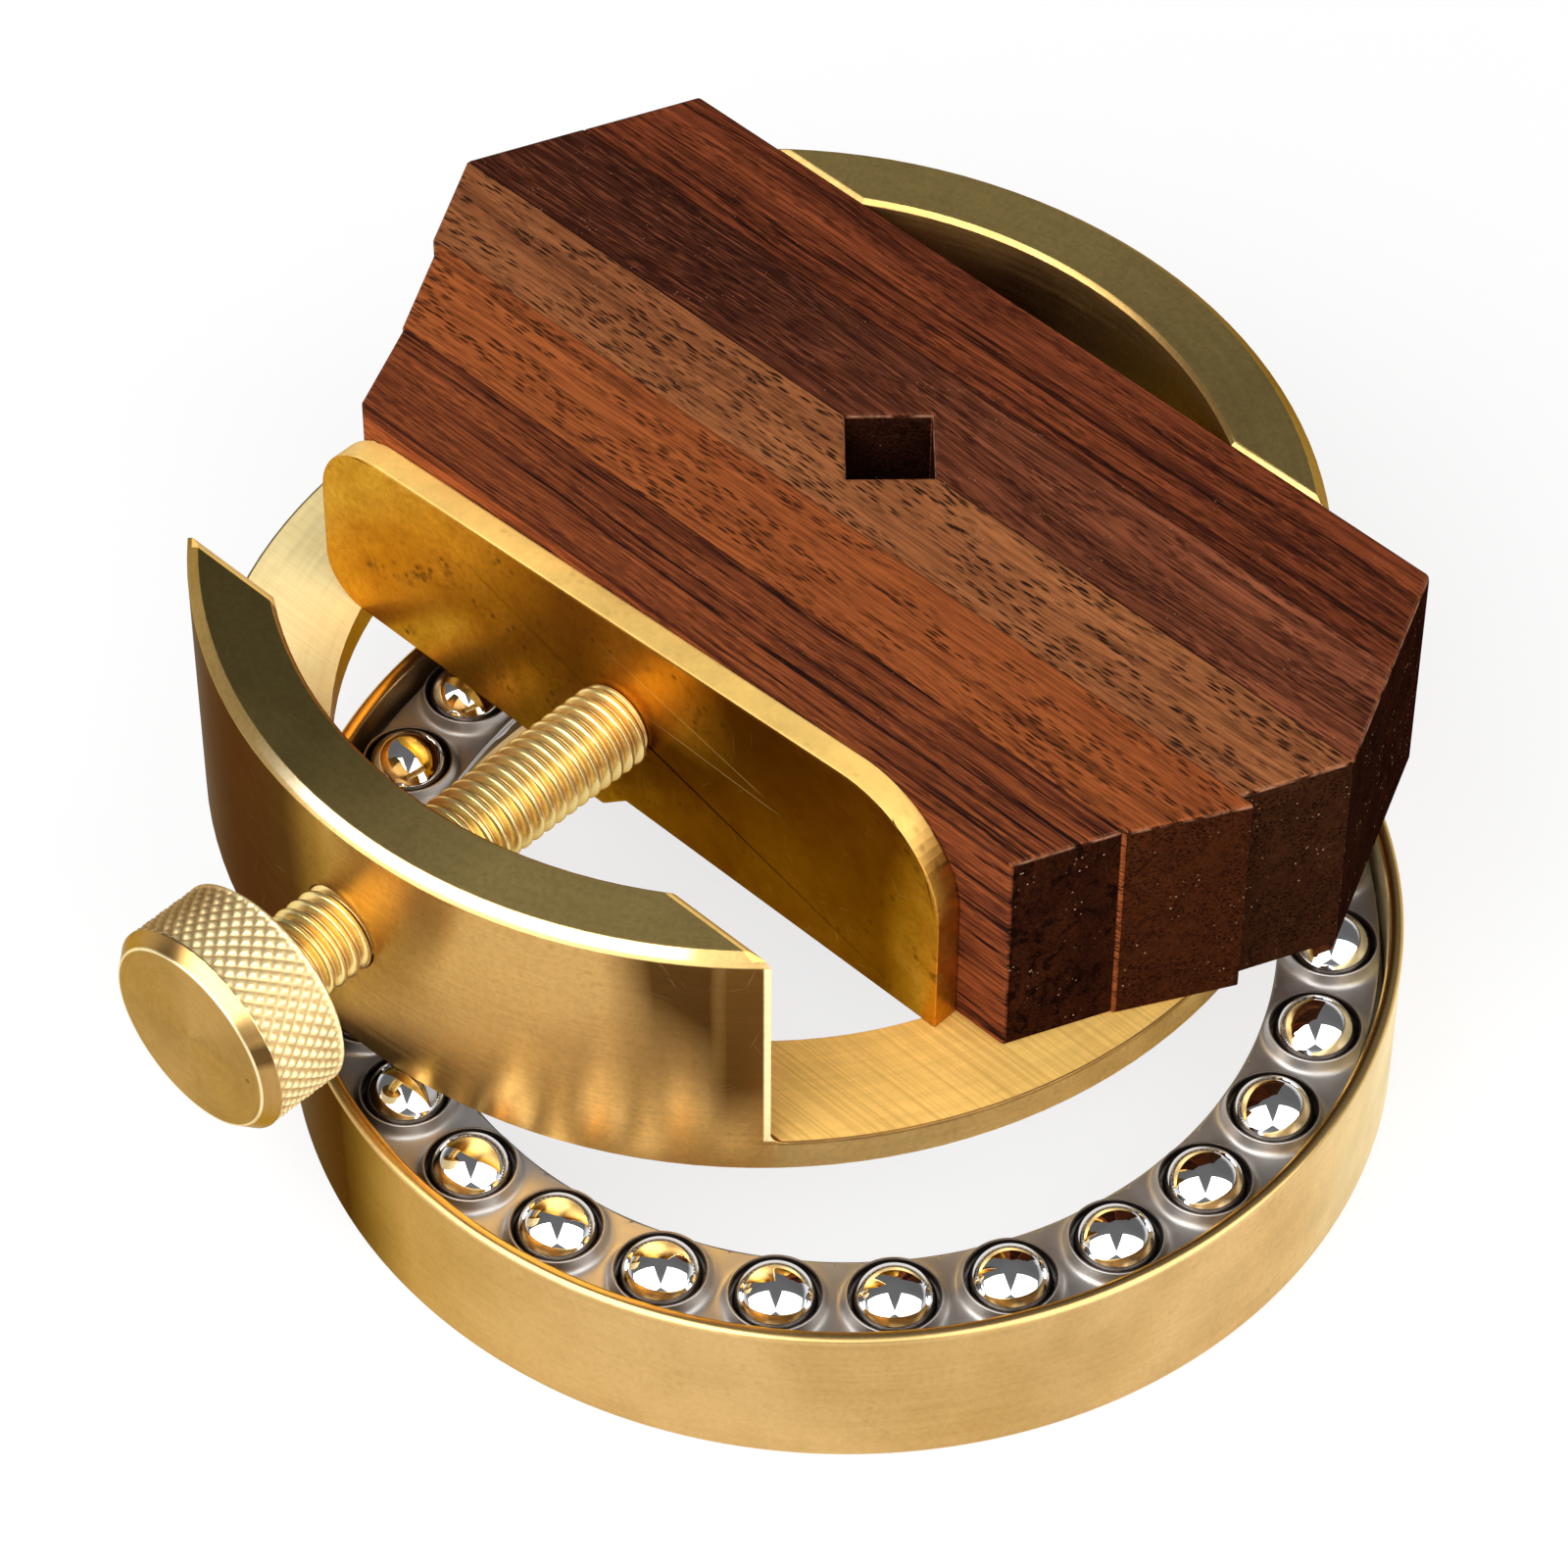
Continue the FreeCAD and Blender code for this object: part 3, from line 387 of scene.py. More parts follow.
# a zone runs between limits of "turn" (degrees), "reach", "out", "along" and "across" (mm),
# "level" (height in mm) or "up" (how far a face looks up), none of it at the first number and
# all of it from the second; "dull" is how far its cutter marks scatter the light
brassLook = {
    "base": {
        "turning": "base", "marks": (30, 300, 1500), "light": (0.7, 0.46, 0.19),
        "dark": (0.52, 0.32, 0.11), "clouds": 60.0, "cloudAmount": 0.7, "markAmount": 0.25,
        "spots": 0.15, "smooth": 0.3, "rough": 0.4, "scratch": 0.2, "grit": 0.1, "grain": 0.0,
        "edge": (0.5, 0.35, 0.15), "zones": [
            # painted highlight: a paler band along the rounded lip
            {"limits": [("out", 17.9, 18.6)], "color": (0.86, 0.58, 0.22), "amount": 0.6,
             "rough": 0.25},
            # painted shade inside the ring, on the inner wall under the lip and on the shelf
            {"limits": [("reach", 56.3, 55.2), ("out", 18.2, 17.4)], "color": (0.24, 0.13, 0.04),
             "amount": 0.75, "rough": 0.35},
            # painted reflection: the outer wall paler from the front-right round to the right side
            {"limits": [("turn", -70, -45)] + baseWall, "color": (0.84, 0.6, 0.32), "amount": 0.8,
             "rough": 0.38},
            {"limits": [("turn", -45, -15), ("turn", 60, 40)] + baseWall,
             "color": (1.0, 0.84, 0.48), "amount": 0.95, "rough": 0.42, "dull": 0.55},
            # painted shade: the outer wall near black at the far left
            *({"limits": [("turn", *turns)] + baseWall, "color": (0.045, 0.028, 0.009),
               "amount": 0.93, "rough": 0.38} for turns in shadedBackTurns)]},
    "body": {
        "turning": "body", "marks": (60, 900, 1800), "light": (0.66, 0.4, 0.14),
        "dark": (0.48, 0.26, 0.07), "clouds": 50.0, "cloudAmount": 0.6, "markAmount": 0.4,
        "spots": 0.2, "smooth": 0.26, "rough": 0.42, "scratch": 0.22, "grit": 0.15, "grain": 0.5,
        "edge": (0.36, 0.24, 0.1), "zones": [
            # painted shade: the outer wall near black at the far left
            *({"limits": [("turn", *turns)] + bodyWall, "color": (0.1, 0.075, 0.034),
               "amount": 0.93, "rough": 0.36} for turns in shadedBodyTurns),
            # painted reflections: pale bands on the lower front and upper left of the outer wall
            {"limits": [("turn", -91, -87), ("turn", -20, -40), ("reach", 57.2, 57.5),
                        ("out", 22.6, 22.4)],
             "color": (1.0, 0.72, 0.3), "amount": 0.8, "rough": 0.36},
            {"limits": [("turn", -138, -133), ("turn", -120, -127), ("out", 34, 42)] + bodyWall,
             "color": (1.0, 0.66, 0.22), "amount": 0.6, "rough": 0.32},
            {"limits": [("turn", -128, -116), ("turn", -87, -91), ("reach", 57.2, 57.5),
                        ("out", 33, 25)],
             "color": (1.0, 0.62, 0.2), "amount": 0.6, "rough": 0.32},
            # painted dark reflections: two vertical bands near the front of the outer wall
            {"limits": [("turn", -106, -101), ("turn", -92.6, -94.6), ("out", 27, 42)] + bodyWall,
             "color": (0.06, 0.024, 0.005), "amount": 0.94, "rough": 0.36},
            {"limits": [("turn", -94.8, -92.8), ("turn", -89.3, -89.5), ("out", 24, 33)] + bodyWall,
             "color": (0.11, 0.042, 0.007), "amount": 0.9, "rough": 0.36},
            # painted highlight: a thin pale vertical line on the outer wall
            {"limits": [("turn", -89.8, -89.6), ("turn", -88.5, -88.8), ("reach", 57.0, 57.2),
                        ("out", 23, 23.3), ("out", 50.1, 50.05)],
             "color": (1.0, 0.8, 0.42), "amount": 0.95, "rough": 0.4, "dull": 0.6},
            {"limits": [("out", 48.95, 49.05)] + bodyRim, "color": (0.5, 0.33, 0.12),
             "amount": 0.9, "rough": 0.35},
            # painted highlight on the front-left stretch of the rim chamfer
            {"limits": [("out", 49.3, 49.5), ("turn", -149, -141), ("turn", -96, -99)] + bodyRim,
             "color": (1.0, 0.87, 0.6), "amount": 0.9, "rough": 0.25},
            {"limits": [("out", 50.16, 50.2)], "color": (0.74, 0.55, 0.2), "amount": 0.85,
             "rough": 0.38},
            # painted shade: the top face darker on its front-left stretch
            {"limits": [("out", 50.16, 50.2), ("turn", -115, -150)], "color": (0.24, 0.18, 0.06),
             "amount": 0.8, "rough": 0.34},
            {"limits": [("across", -41.62, -41.56), ("across", -40.4, -40.45), ("out", 49.5, 49.55)],
             "color": (1.0, 0.6, 0.16), "amount": 0.9, "rough": 0.35, "dull": 0.6},
            {"limits": slotFloor, "color": (0.92, 0.57, 0.15), "amount": 0.92, "rough": 0.55,
             "dull": 0.8},
            # painted light: the slot floor paler towards its left end
            {"limits": slotFloor + [("along", 10, -20)], "color": (1.0, 0.84, 0.42),
             "amount": 0.9, "rough": 0.55, "dull": 0.95}]},
    "plate": {
        "turning": "jaws", "marks": (500, 500, 500), "light": (0.82, 0.45, 0.08),
        "dark": (0.5, 0.22, 0.025), "clouds": 75.0, "cloudAmount": 0.8, "markAmount": 0.3,
        "spots": 0.9, "smooth": 0.28, "rough": 0.42, "scratch": 0.3, "grit": 0.2, "grain": 0.0,
        "edge": (0.6, 0.4, 0.14), "zones": [
            # painted dark reflection across the middle of the plate, fading at both ends
            {"limits": [("along", -22, 4), ("along", 44, 36)], "color": (0.13, 0.04, 0.004),
             "amount": 0.85, "rough": 0.36},
            # painted reflection: a brighter orange patch on the upper plate above the screw
            {"limits": [("along", -8, -3), ("along", 14, 7), ("level", 36, 39.5)],
             "color": (1.0, 0.5, 0.08), "amount": 0.55, "rough": 0.36},
            # painted light: the upward faces of the plate are paler
            {"limits": [("up", 0.5, 0.8)], "color": (1.0, 0.64, 0.18), "amount": 0.95,
             "rough": 0.5, "dull": 0.8}]},
    "screw": {
        "turning": "screw", "marks": (400, 400, 400), "light": (1.0, 0.86, 0.42),
        "dark": (0.96, 0.68, 0.24), "clouds": 160.0, "cloudAmount": 0.4, "markAmount": 0.1,
        "spots": 0.2, "smooth": 0.18, "rough": 0.28, "scratch": 0.0, "grit": 0.0, "grain": 0.0,
        "edge": (0.55, 0.3, 0.1), "zones": [
            {"limits": [("reach", 3.9, 4.2)], "color": (1.0, 0.76, 0.3), "amount": 0.8,
             "rough": 0.26, "dull": 0.2},
            {"limits": [("reach", 4.3, 3.95)], "color": (0.6, 0.3, 0.08), "amount": 0.6,
             "rough": 0.35}]},
    "knob": {
        # the knob's marks vary its colour in broad sectors round the face, a painted sheen for the fan
        # of a turned face, and in fine rings along its reach, which are its turning marks
        "turning": "screw", "marks": (380, 2600, 700), "light": (1.0, 0.84, 0.46),
        "dark": (0.9, 0.66, 0.3), "clouds": 120.0, "cloudAmount": 0.5, "markAmount": 0.4,
        "spots": 0.15, "smooth": 0.2, "rough": 0.3, "scratch": 0.1, "grit": 0.06, "grain": 0.6,
        "edge": (0.7, 0.55, 0.3), "zones": [
            {"limits": [("reach", 10.6, 10.8), ("out", 76.05, 75.9)], "color": (1.0, 0.84, 0.46),
             "amount": 0.9, "rough": 0.36, "dull": 0.4},
            # painted shade: the knurl darker on its upper left side
            {"limits": [("turn", 90, 125), ("out", 76.1, 76.0)], "color": (0.4, 0.2, 0.05),
             "amount": 0.8, "rough": 0.32},
            {"limits": [("reach", 11.38, 11.08), ("out", 76.05, 75.9)],
             "color": (0.36, 0.18, 0.045), "amount": 0.75, "rough": 0.4},
            # the bevel is painted as lit and shaded copies: a dark tone, a painted highlight band and
            # a darker painted shade band
            {"limits": knobBevel, "color": (0.42, 0.23, 0.065), "amount": 0.95, "rough": 0.28},
            {"limits": knobBevel + [("turn", 98, 84), ("turn", 38, 46)],
             "color": (0.85, 0.54, 0.2), "amount": 0.75, "rough": 0.28},
            {"limits": knobBevel + [("turn", 34, 29), ("turn", 16, 21)],
             "color": (0.1, 0.05, 0.015), "amount": 0.9, "rough": 0.25},
            {"limits": [("out", 77.3, 77.4), ("reach", 10.36, 10.3), ("reach", 10.0, 10.06)],
             "color": (1.0, 0.86, 0.5), "amount": 0.9, "rough": 0.3},
            {"limits": [("out", 77.5, 77.55), ("reach", 10.1, 10.0)], "color": (0.44, 0.27, 0.1),
             "amount": 0.95, "rough": 0.36}]},
}
brassWear = {"waver": (60, 60, 25), "pale": 1.12, "deep": 0.72, "speck": 0.75, "dullSpeck": 0.25,
             "gritScale": 1700.0, "grit": (0.4, 0.66), "dirt": (0.13, 0.06, 0.015),
             "scratch": (1.0, 0.85, 0.55), "scratchShare": 0.6,
             "bump": {"strength": 0.35, "distance": 0.00006}}


def zoneMask(w, places, limits, waver):
    mask = 1.0
    for axis, start, end in limits:
        place, span = places[axis], abs(end - start)
        if span > 1.0:  # a wide limit wanders
            place = w.plus(place, w.times(waver, span))
        mask = w.times(w.fit(place, start, end), mask)
    return mask


def brassMaterial(name):
    look, wear = brassLook[name], brassWear
    turning = turnings[look["turning"]]
    material, w, shader = newMaterial(
        name + "Brass", Metallic=1.0, Anisotropic=look["grain"], Anisotropic_Rotation=0.25,
        Specular_Tint=rgb(look["edge"]))
    turned = w.use(turnedPath, turning)
    tone = w.use(metalTone, {
        "Vector": turned["Path"], "Marks": look["marks"], "Light": rgb(look["light"]),
        "Dark": rgb(look["dark"]), "Clouds": look["clouds"], "Cloud Amount": look["cloudAmount"],
        "Mark Amount": look["markAmount"], "Spots": look["spots"], "Smooth": look["smooth"],
        "Rough": look["rough"]})
    coords = w.add("TexCoord").outputs["Object"]
    local = w.vector("SUBTRACT", coords, turning["Centre"])
    places = {"turn": turned["Angle"], "reach": turned["Reach"], "out": turned["Out"],
              "up": w.split(w.add("NewGeometry").outputs["True Normal"])[2],
              "along": w.vector("DOT_PRODUCT", local, tuple(alongStrips * perMetre)),
              "across": w.vector("DOT_PRODUCT", local, tuple(acrossStrips * perMetre)),
              "level": w.vector("DOT_PRODUCT", coords, (0, 0, perMetre))}
    waver = w.noise(w.vector("MULTIPLY", turned["Path"], wear["waver"]), 1.0, 2.0)
    waver = w.minus(waver, 0.5)
    color, rough, metal = tone["Color"], tone["Roughness"], 1.0
    grit = w.fit(w.noise(coords, wear["gritScale"], 3.0, 0.6), *wear["grit"])
    speck = w.plus(w.times(tone["Speck"], wear["speck"]), w.times(grit, look["grit"]), clamp=True)
    for zone in look["zones"]:
        mask = w.times(zoneMask(w, places, zone["limits"], waver), zone["amount"])
        pale, deep = [rgb([part * wear[much] for part in zone["color"]]) for much in ("pale", "deep")]
        color = w.mix(mask, color, w.mix(tone["Share"], pale, deep))
        rough = w.blend(mask, rough, zone["rough"])
        if "dull" in zone:
            metal = w.blend(mask, metal, 1 - zone["dull"])
            speck = w.blend(mask, speck, w.times(speck, wear["dullSpeck"]))
    color = w.mix(speck, color, rgb(wear["dirt"]))
    height = tone["Height"]
    if name == "body":
        color, height = millLines(w, places, color, height)
    if name == "knob":
        color, height = faceDent(w, places, color, height)
    if look["scratch"]:
        mark = w.use(scratchMask, {"Vector": turned["Path"]})["Mask"]
        mark = w.times(mark, look["scratch"])
        if name == "plate":
            mark = w.math("MAXIMUM", mark, longScratches(w, places))
        color = w.mix(w.times(mark, wear["scratchShare"]), color, rgb(wear["scratch"]))
        height = w.minus(height, mark)
    w.put(color, shader.inputs["Base Color"])
    w.put(rough, shader.inputs["Roughness"])
    w.put(metal, shader.inputs["Metallic"])
    if look["grain"]:
        w.put(turned["Grain"], shader.inputs["Tangent"])
    bumpInto(w, shader, height, **wear["bump"])
    return material


# the floor of the slot keeps the cutter's lines, which run along the jaws
millForm = {"along": 0.03, "across": 2.9, "line": (0.42, 0.66), "fade": (-35, 25, 0.25, 1.0),
            "color": (0.5, 0.26, 0.06), "share": 0.45, "depth": 0.4}


def millLines(w, places, color, height):
    form = millForm
    line = w.noise(w.combine(w.times(places["along"], form["along"]),
                             w.times(places["across"], form["across"]), 0.0), 1.0, 3.0)
    mask = w.times(w.fit(line, *form["line"]), zoneMask(w, places, slotFloor, 0.0))
    mask = w.times(mask, w.fit(places["along"], *form["fade"]))
    color = w.mix(w.times(mask, form["share"]), color, rgb(form["color"]))
    return color, w.minus(height, w.times(mask, form["depth"]))


def riseOf(w, places):
    # height over the axis of the turning
    sine = w.math("SINE", w.times(places["turn"], math.radians(1)))
    return w.times(sine, places["reach"])


# one small dent in the face of the knob
dentForm = {"along": 8.3, "rise": 0.45, "size": (0.34, 0.2), "out": (77.4, 77.5),
            "color": (0.16, 0.07, 0.02), "share": 0.6, "depth": 3.0}


def faceDent(w, places, color, height):
    form = dentForm
    away = w.combine(w.minus(places["along"], form["along"]),
                     w.minus(riseOf(w, places), form["rise"]), 0.0)
    dent = w.times(w.fit(w.vector("LENGTH", away), *form["size"]),
                   w.fit(places["out"], *form["out"]))
    color = w.mix(w.times(dent, form["share"]), color, rgb(form["color"]))
    return color, w.minus(height, w.times(dent, form["depth"]))


# two long marks cross the plate beside the screw, from one place on it to another
plateMarks = {"runs": ((-4.2, 43.9, 18.9, 38.8), (1.4, 38.2, 20.9, 37.8)), "width": (0.09, 0.02),
              "before": 0.5, "after": 2, "amount": 0.8}


def longScratches(w, places):
    form = plateMarks
    total = 0.0
    for x, z, endX, endZ in form["runs"]:
        run = math.hypot(endX - x, endZ - z)
        dx, dz = (endX - x) / run, (endZ - z) / run
        away = w.plus(w.times(places["along"], -dz), w.times(riseOf(w, places), dx))
        away = w.math("ABSOLUTE", w.plus(away, x * dz - z * dx))
        thin = w.fit(away, *form["width"])
        for start, end in ((x - form["before"], x + form["after"]),
                           (endX + form["before"], endX - form["after"])):
            thin = w.times(thin, w.fit(places["along"], start, end))
        total = w.math("MAXIMUM", thin, total)
    return w.times(total, form["amount"])


steelLook = {
    "cage": {"color": (0.58, 0.55, 0.52), "dark": (0.47, 0.44, 0.41), "smooth": 0.4, "rough": 0.54,
             "bump": 0.12},
    # painted shade: the inside of each cage collar, round its ball, is dark
    "bore": {"color": (0.16, 0.13, 0.11), "dark": (0.09, 0.07, 0.06), "smooth": 0.3, "rough": 0.45,
             "bump": 0.1},
    "race": {"color": (0.55, 0.55, 0.55), "dark": (0.4, 0.4, 0.4), "smooth": 0.2, "rough": 0.3,
             "bump": 0.2},
    "ball": {"color": (0.9, 0.9, 0.9), "dark": (0.84, 0.84, 0.84), "smooth": 0.02, "rough": 0.05,
             "bump": 0.0},
}
steelMarks = {"Marks": (500, 500, 500), "Clouds": 140.0, "Cloud Amount": 0.5, "Mark Amount": 0.1,
              "Spots": 0.1}
steelBumpDistance = 0.00005


def steelMaterial(name):
    look = steelLook[name]
    material, w, shader = newMaterial(name + "Steel", Metallic=1.0)
    tone = w.use(metalTone, {
        "Vector": w.add("TexCoord").outputs["Object"], "Light": rgb(look["color"]),
        "Dark": rgb(look["dark"]), "Smooth": look["smooth"], "Rough": look["rough"], **steelMarks})
    w.put(tone["Color"], shader.inputs["Base Color"])
    w.put(tone["Roughness"], shader.inputs["Roughness"])
    if look["bump"]:
        bumpInto(w, shader, tone["Height"], look["bump"], steelBumpDistance)
    return material


woodLook = {
    "a": {"light": (0.33, 0.084, 0.023), "dark": (0.06, 0.014, 0.008),
          "streak": (0.014, 0.005, 0.004), "bands": 0.9, "streaks": 1.0, "pores": 0.5,
          "dust": 0.15, "seed": 1.3, "end": 0.1, "left": 0.0, "right": 0.0},
    "b": {"light": (0.37, 0.1, 0.026), "dark": (0.17, 0.04, 0.012),
          "streak": (0.02, 0.007, 0.004), "bands": 0.6, "streaks": 0.4, "pores": 0.9,
          "dust": 0.15, "seed": 2.9, "end": 0.14, "left": 0.0, "right": 0.3},
    "c": {"light": (0.37, 0.132, 0.045), "dark": (0.155, 0.048, 0.018),
          "streak": (0.02, 0.008, 0.005), "bands": 0.65, "streaks": 0.35, "pores": 1.0,
          "dust": 0.3, "seed": 5.1, "end": 0.1, "left": 0.2, "right": 0.2},
    "d": {"light": (0.27, 0.077, 0.033), "dark": (0.04, 0.011, 0.006),
          "streak": (0.012, 0.004, 0.003), "bands": 0.7, "streaks": 0.5, "pores": 0.7,
          "dust": 0.3, "seed": 7.7, "end": 0.08, "left": 0.95, "right": 0.0},
    "e": {"light": (0.27, 0.063, 0.021), "dark": (0.045, 0.011, 0.006),
          "streak": (0.012, 0.004, 0.003), "bands": 0.95, "streaks": 0.85, "pores": 0.6,
          "dust": 0.15, "seed": 9.2, "end": 0.1, "left": 0.0, "right": 0.2},
}
woodBump = {"strength": 0.45, "distance": 0.00012}


def woodMaterial(name):
    look = woodLook[name]
    material, w, shader = newMaterial("hardwood" + name.upper(), Specular_IOR_Level=0.0)
    tone = w.use(hardwood, {
        "Seed": look["seed"], "Light": rgb(look["light"]), "Dark": rgb(look["dark"]),
        "Streak": rgb(look["streak"]), "Bands": look["bands"], "Streaks": look["streaks"],
        "Pores": look["pores"], "Dust": look["dust"], "End Tone": look["end"],
        "Left Shade": look["left"], "Right Shade": look["right"]})
    w.put(tone["Color"], shader.inputs["Base Color"])
    w.put(tone["Roughness"], shader.inputs["Roughness"])
    bumpInto(w, shader, tone["Height"], **woodBump)
    return material


def dress(obj, material):
    obj.data.materials.clear()
    obj.data.materials.append(material)


brass = {name: brassMaterial(name) for name in brassLook}
steel = {name: steelMaterial(name) for name in steelLook}
wood = {name: woodMaterial(name) for name in woodLook}

dress(nodes["vise_body"], brass["body"])
dress(nodes["pressure_plate"], brass["plate"])
for name in ("lower_race", "upper_race", "retaining_clip"):
    dress(nodes[name], steel["race"])
for letter in "abcde":
    dress(nodes["jaw_strip_" + letter], wood[letter])
for name in nodes:
    if name.startswith("ball_"):
        dress(nodes[name], steel["ball"])
print("materials on the carried pieces")


def meshObject(name, bm, *materials):
    bmesh.ops.remove_doubles(bm, verts=bm.verts, dist=joinReach)
    bmesh.ops.recalc_face_normals(bm, faces=bm.faces)
    mesh = bpy.data.meshes.new(name)
    bm.to_mesh(mesh)
    bm.free()
    mesh.shade_smooth()
    for material in materials:
        mesh.materials.append(material)
    obj = bpy.data.objects.new(name, mesh)
    bpy.context.scene.collection.objects.link(obj)
    return obj


def evenNormals(obj):
    even = obj.modifiers.new("evenShading", "WEIGHTED_NORMAL")
    even.mode = "FACE_AREA_WITH_ANGLE"
    even.keep_sharp = True


# base ring, turned in one piece; sizes in mm
baseForm = {"outer": 57.15, "inner": 55.6, "top": 18.7, "round": 0.7, "roundSteps": 8, "shelf": 8.9,
            "shelfInner": 47.0, "foot": 0.6, "steps": 360}


def baseRing():
    form = baseForm
    lip = []
    for middle, start in ((form["outer"] - form["round"], 0), (form["inner"] + form["round"], 90)):
        for step in range(form["roundSteps"] + 1):
            angle = math.radians(start + 90 * step / form["roundSteps"])
            lip.append((middle + form["round"] * math.cos(angle),
                        form["top"] - form["round"] * (1 - math.sin(angle))))
    corners = [(form["inner"], form["shelf"]), (form["shelfInner"], form["shelf"]),
               (form["shelfInner"], 0.0), (form["outer"] - form["foot"], 0.0),
               (form["outer"], form["foot"])]
    turns = [2 * math.pi * step / form["steps"] for step in range(form["steps"])]
    bm = bmesh.new()
    rings = [[bm.verts.new((radius * math.cos(turn) * mm, radius * math.sin(turn) * mm, height * mm))
              for turn in turns] for radius, height in lip + corners]
    for k, ring in enumerate(rings):
        following = rings[(k + 1) % len(rings)]
        for i in range(form["steps"]):
            j = (i + 1) % form["steps"]
            bm.faces.new([ring[i], ring[j], following[j], following[i]])
    for ring in rings[len(lip):]:  # the corners stay sharp
        for i in range(form["steps"]):
            bm.edges.get((ring[i], ring[(i + 1) % form["steps"]])).smooth = False
    return meshObject("base_ring_turned", bm, brass["base"])


base = baseRing()
evenNormals(base)
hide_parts("base_ring")
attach(base, "base")
print("base ring turned")


# ball cage: two pressed halves with a collar round every ball; sizes in mm
cageForm = {"count": 27, "first": -4.8, "circle": 49.9, "inner": 44.5, "outer": 54.9,
            "level": 14.5144, "bore": 4.4956, "collar": 4.7756, "sheet": 0.4, "rise": 1.5,
            "flare": 0.26, "round": 0.12, "roundSteps": 6, "steps": 72, "spread": 12, "crowd": 1.8,
            "boreRows": 5}


def collarRows():
    # radius and height, from the bottom of the bore over the rim
    form = cageForm
    top = form["sheet"] + form["rise"]
    rows = [(form["bore"], 0.0), (form["bore"], top * 0.5), (form["bore"], top - form["round"])]
    middle = (form["bore"] + form["collar"]) / 2
    half = (form["collar"] - form["bore"]) / 2
    for step in range(1, form["roundSteps"]):
        angle = math.pi * step / form["roundSteps"]
        rows.append((middle - half * math.cos(angle), top - form["round"] * (1 - math.sin(angle))))
    rows.append((form["collar"], top - form["round"]))
    return rows


def skirtHeight(away):
    # the collar's foot runs out into the sheet
    form = cageForm
    return form["sheet"] + (form["rise"] - form["round"]) * math.exp(-away / form["flare"])


def borderReach(hub, ray, half):
    # how far a ray from a ball's middle runs to the border of that ball's share of the cage
    best = math.inf
    for radius in (cageForm["outer"], cageForm["inner"]):
        b = hub.dot(ray)
        root = b * b - hub.dot(hub) + radius * radius
        if root >= 0:
            for reach in (-b + math.sqrt(root), -b - math.sqrt(root)):
                if 0 < reach < best:
                    best = reach
    for sign in (1, -1):
        normal = Vector((-math.sin(half * sign), math.cos(half * sign)))
        speed = ray.dot(normal)
        if abs(speed) > 1e-9 and 0 < -hub.dot(normal) / speed < best:
            best = -hub.dot(normal) / speed
    return best


def cageHalf(name, side):
    form = cageForm
    half = math.pi / form["count"]
    hub = Vector((form["circle"], 0))
    corners = [math.atan2(math.sin(half) * r, math.cos(half) * r - form["circle"])
               for r in (form["outer"], form["inner"])]
    turns = sorted(set([i * 2 * math.pi / form["steps"] for i in range(form["steps"])] +
                       [c % (2 * math.pi) for c in corners] + [-c % (2 * math.pi) for c in corners]))
    profiles = []
    for turn in turns:
        ray = Vector((math.cos(turn), math.sin(turn)))
        reach = borderReach(hub, ray, half)
        profile = [(hub + ray * radius, height) for radius, height in collarRows()]
        for step in range(1, form["spread"] + 1):
            away = (reach - form["collar"]) * (step / form["spread"]) ** form["crowd"]
            profile.append((hub + ray * (form["collar"] + away), skirtHeight(away)))
        profile.append((hub + ray * reach, 0.0))
        profiles.append(profile)
    onSide = [abs(abs(math.atan2(p[-1][0].y, p[-1][0].x)) - half) < 1e-6 for p in profiles]
    bm = bmesh.new()
    for index in range(form["count"]):
        middle = math.radians(form["first"]) + index * 2 * half
        grid = []
        for profile in profiles:
            column = []
            for flat, height in profile:
                x = flat.x * math.cos(middle) - flat.y * math.sin(middle)
                y = flat.x * math.sin(middle) + flat.y * math.cos(middle)
                column.append(bm.verts.new((x * mm, y * mm, (form["level"] + side * height) * mm)))
            grid.append(column + column[:1])
        for i, column in enumerate(grid):
            j = (i + 1) % len(grid)
            for k in range(len(column) - 1):
                if k == len(column) - 3 and onSide[i] and onSide[j]:
                    continue  # no wall where two shares of the cage meet
                face = bm.faces.new([column[k], grid[j][k], grid[j][k + 1], column[k + 1]])
                # the rows inside each collar take the bore steel, which carries painted shade
                face.material_index = 1 if k < form["boreRows"] else 0
    return meshObject(name, bm, steel["cage"], steel["bore"])


for side, name in ((1, "cage_upper"), (-1, "cage_lower")):
    cage = cageHalf(name + "_pressed", side)
    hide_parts(name)
    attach(cage, "cage")
print("ball cage pressed")


# clamp screw with a helical thread; sizes in mm, out along the screw from the body's axis
threadForm = {"radius": 4.7625, "depth": 0.86, "pitch": 1.5875, "start": 18.82, "end": 67.4,
              "crest": 0.26, "root": 0.14, "leadIn": 0.9, "leadDrop": 0.75, "shoulder": 4.0,
              "stub": 3.9, "nose": 3.0, "tip": 15.76, "tipEdge": 16.06, "tipRadius": 2.7,
              "groove": 2.5, "grooveFrom": 17.06, "grooveTo": 16.26, "steps": 96,
              "samples": (0.0, 0.07, 0.1, 0.22, 0.36, 0.4, 0.5, 0.6, 0.64, 0.78, 0.9, 0.93)}


def threadRadius(phase):
    form = threadForm
    share = (abs(phase % 1.0 - 0.5) * 2 - form["root"]) / (1 - form["root"] - form["crest"])
    return form["radius"] - form["depth"] * (1 - min(1.0, max(0.0, share)))


